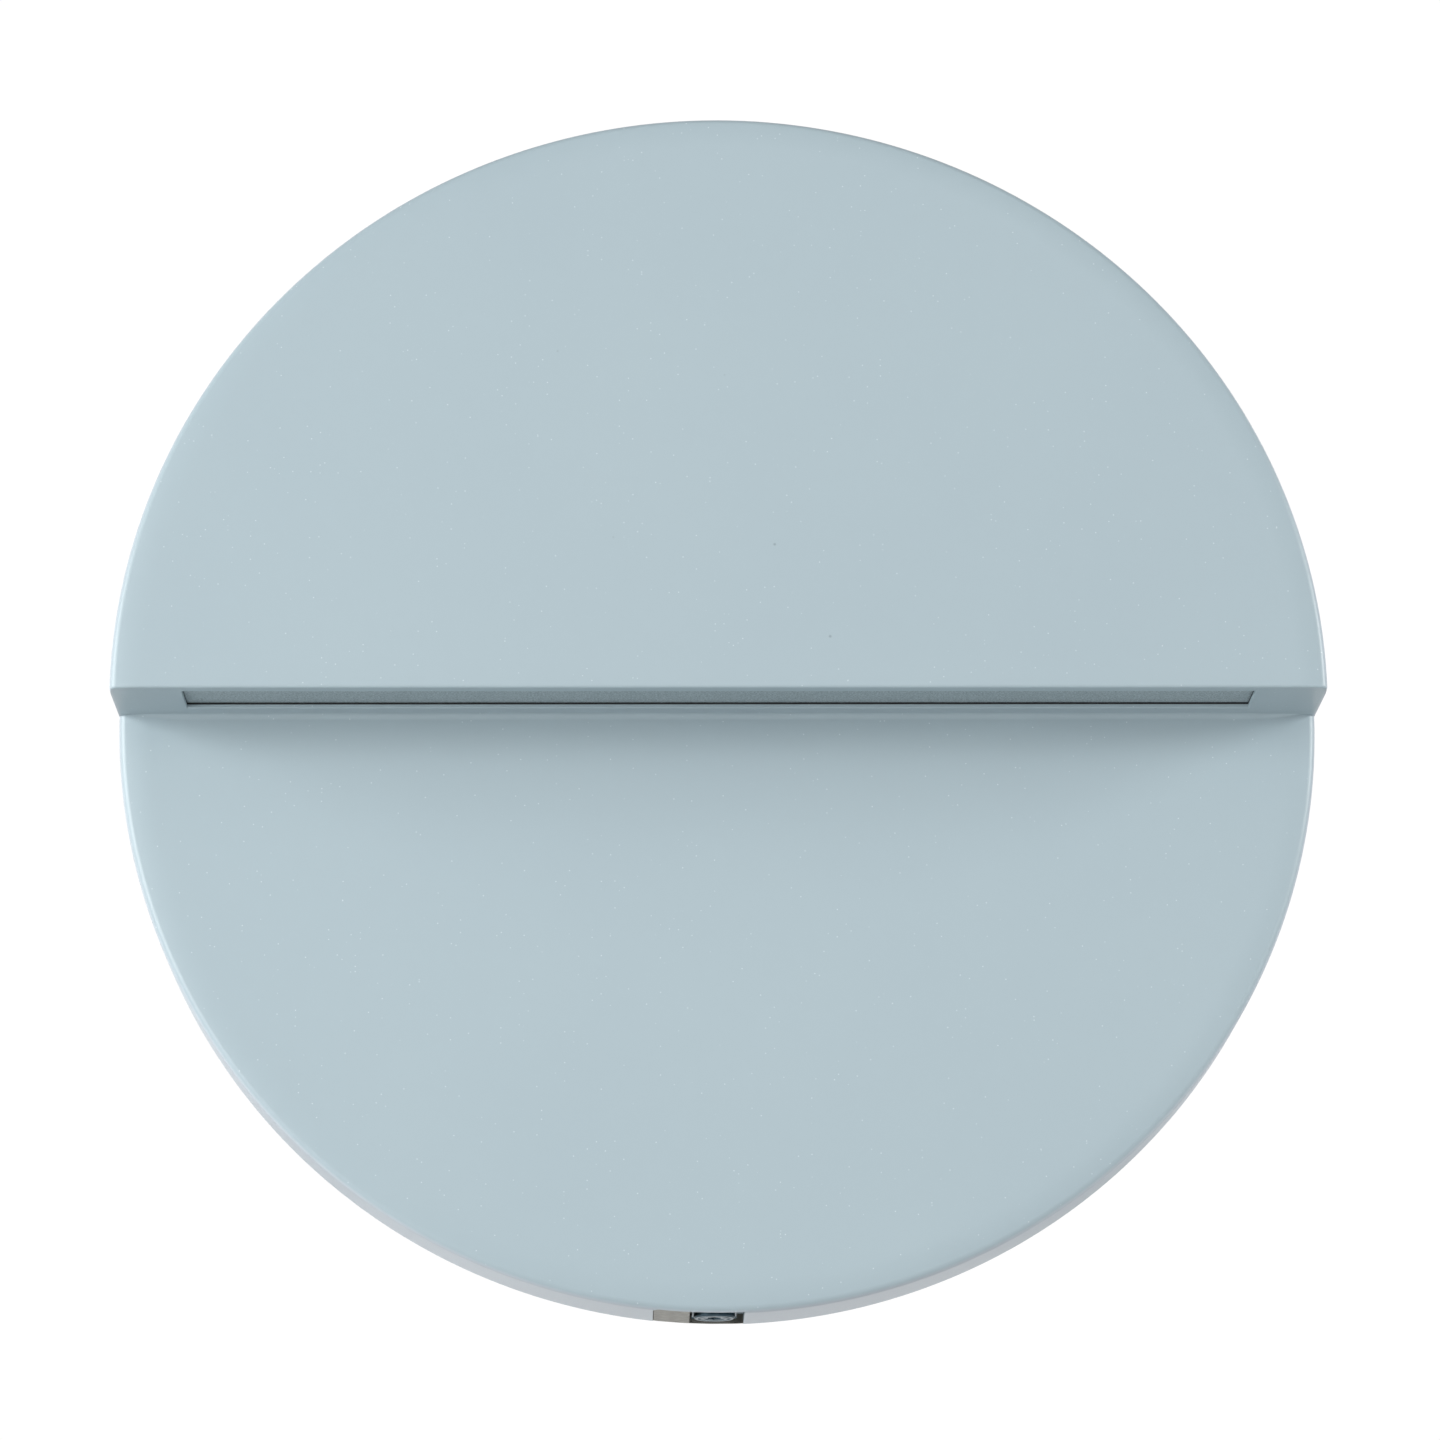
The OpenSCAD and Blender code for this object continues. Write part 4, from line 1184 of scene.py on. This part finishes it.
@dataclass
class TerminalBlock:
    """The three-pole mains terminal with its clamps, screws and leads."""

    def build(self, shop: Workshop) -> None:
        """Builds the block's pieces and the mains leads."""
        shop.soften_rows(
            "base", ("terminal_block", "moulded", 0.2), ("terminal_clamps", "turned", 0.1),
            ("terminal_screws", "plated", 0.08), ("terminal_fixing_screws", "plated", 0.08))
        routes = {
            "neutral_lead": [(0, 38, 8.1), (0, 41, 8.1), (0.6, 44, 8.7), (0.6, 47, 8.7)],
            "live_lead": [(10, 38, 8.1), (10, 41, 8.1), (9.4, 44, 8.7), (9.4, 47, 8.7)],
        }
        for node, route in routes.items():
            name = f"{node}_insulated"
            shop.hand_over(lead(route, 1.1).solid(name), name, "base", [node])


@dataclass
class Earthing:
    """The earth screw, its washer and ring, and the striped lead to the terminal."""

    x: float = -34.0
    y: float = 27.0

    def build(self, shop: Workshop) -> None:
        """Builds the earth connection's pieces."""
        shop.soften_rows("base", ("earth_screw", "lacquered", 0.15),
                         ("earth_washer", "plated", 0.1), ("earth_ring", "tinned", 0.08))
        route = [(self.x, self.y + 11, 6.5), (self.x, self.y + 15, 6.5),
                 (self.x + 5, self.y + 18, 7.1), (-20, 43.5, 7.5), (-12.5, 43.2, 8.1),
                 (-10, 41.5, 8.1), (-10, 38, 8.1)]
        shop.hand_over(lead(route, 1.1).solid("earth"), "earth_lead_striped", "base",
                       ["earth_lead"])


@dataclass
class OutputPlug:
    """The driver's output leads and the plug that the cover's socket drops on to."""

    def build(self, shop: Workshop) -> None:
        """Builds the plug and its two leads."""
        shop.soften("output_plug", "output_plug_moulded", "base", 0.15)
        for side, node, name in ((-1, "output_lead_positive", "output_lead_red"),
                                 (1, "output_lead_negative", "output_lead_black")):
            rise = 12.5 + side
            route = [(33, 47, rise), (33, 43, rise), (40, 39, rise), (48, 35, rise),
                     (50, 32.35, rise), (50, 29.35, rise)]
            shop.hand_over(lead(route, 0.75).solid(name), name, "base", [node])


@dataclass(frozen=True)
class Lamp:
    """One square soft light that faces the middle of the object.

    Attributes:
        name: its name.
        place: where it hangs, in metres.
        size: the length of its sides, in metres.
        watts: its power.
    """

    name: str
    place: Point
    size: float
    watts: float

    def hang(self) -> None:
        """Hangs the lamp, out of the camera's sight."""
        data = bpy.data.lights.new(self.name, "AREA")
        data.shape = "SQUARE"
        data.size = self.size
        data.energy = self.watts
        lamp = bpy.data.objects.new(self.name, data)
        lamp.location = self.place
        lamp.rotation_euler = (-Vector(self.place)).to_track_quat("-Z", "Y").to_euler()
        lamp.visible_camera = False
        bpy.context.scene.collection.objects.link(lamp)


# The front one fills the faces, the soft pair and the edge pair shape the round side,
# and the low one lifts the rim below from behind.
LAMPS = (
    Lamp("key_front", (0.05, -1.70, 0.45), 0.8, 3.0),
    Lamp("soft_left", (-1.20, -0.88, 0.05), 0.8, 17.6),
    Lamp("soft_right", (1.20, -0.88, 0.05), 0.8, 3.5),
    Lamp("edge_left", (-0.90, -0.26, 0.25), 0.3, 3.6),
    Lamp("edge_right", (0.90, -0.26, 0.25), 0.3, 5.2),
    Lamp("low_back", (0.00, 0.75, -0.30), 0.5, 0.8),
)


@dataclass
class Studio:
    """The floor, the soft lights, the surroundings and the camera."""

    camera_place: Point = (-0.013125, -0.844447, -0.219195)
    camera_turn: Point = (104.75232, 0.252672, -0.860782)
    lens_mm: float = 128.44
    sensor_mm: float = 36.0
    floor_z: float = -0.42
    floor_half: float = 6.0
    front_grey: str = "787A7C"
    back_white: float = 1.02
    white_over: Flat = (0.60, 0.84)

    def build(self) -> None:
        """Sets the whole studio up."""
        self._camera()
        self._floor()
        self._surroundings()
        for lamp in LAMPS:
            lamp.hang()
        bpy.context.scene.view_settings.view_transform = "Standard"

    def _camera(self) -> None:
        """Places the camera."""
        data = bpy.data.cameras.new("camera")
        data.lens = self.lens_mm
        data.sensor_width = self.sensor_mm
        data.clip_start = 0.01
        camera = bpy.data.objects.new("camera", data)
        camera.location = self.camera_place
        camera.rotation_euler = [math.radians(a) for a in self.camera_turn]
        bpy.context.scene.collection.objects.link(camera)
        bpy.context.scene.camera = camera

    def _floor(self) -> None:
        """Lays the plain pale floor below the light."""
        bm = bmesh.new()
        bmesh.ops.create_grid(bm, x_segments=1, y_segments=1, size=self.floor_half,
                              matrix=Matrix.Translation((0, 0, self.floor_z)))
        mesh = bpy.data.meshes.new("floor")
        bm.to_mesh(mesh)
        bm.free()
        floor = bpy.data.objects.new("floor", mesh)
        bpy.context.scene.collection.objects.link(floor)
        pale = Finish("plaster_pale", "D4D5D5", "D0D1D2", Grain.SMOOTH, 4, 0.02, 300, 0, 0.8)
        floor.data.materials.append(pale.material())

    def _surroundings(self) -> None:
        """Makes a plain studio that is white behind the light and greyer in front of it."""
        world = bpy.data.worlds.new("studio")
        bpy.context.scene.world = world
        world.use_nodes = True
        tree = world.node_tree
        tree.nodes.clear()
        way = add_node(tree, "TexCoord").outputs["Generated"]
        parts = add_node(tree, "SeparateXYZ", {0: way})
        begin, full = self.white_over
        behind = add_node(tree, "MapRange", {
            "Value": parts.outputs["Y"], "From Min": begin, "From Max": full})
        white = (self.back_white, self.back_white, self.back_white, 1.0)
        tone = add_node(tree, "Mix", {
            0: behind.outputs[0], 6: linear(self.front_grey), 7: white}, data_type="RGBA")
        sky = add_node(tree, "Background", {
            "Color": tone.outputs[2], "Strength": 1.0})
        add_node(tree, "OutputWorld", {"Surface": sky.outputs[0]})


def main() -> None:
    """Builds every sub-assembly in order."""
    logging.basicConfig(level=logging.INFO, format="%(name)s: %(message)s")
    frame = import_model()
    shop = Workshop(frame)
    shop.dress_nodes()
    Studio().build()
    for part in (CoverAssembly(), LightEngine(), BackPlate(), Driver(), TerminalBlock(),
                 Earthing(), OutputPlug(), Lock()):
        LOG.info("building %s", type(part).__name__)
        part.build(shop)
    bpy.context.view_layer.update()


if __name__ == "__main__":
    main()
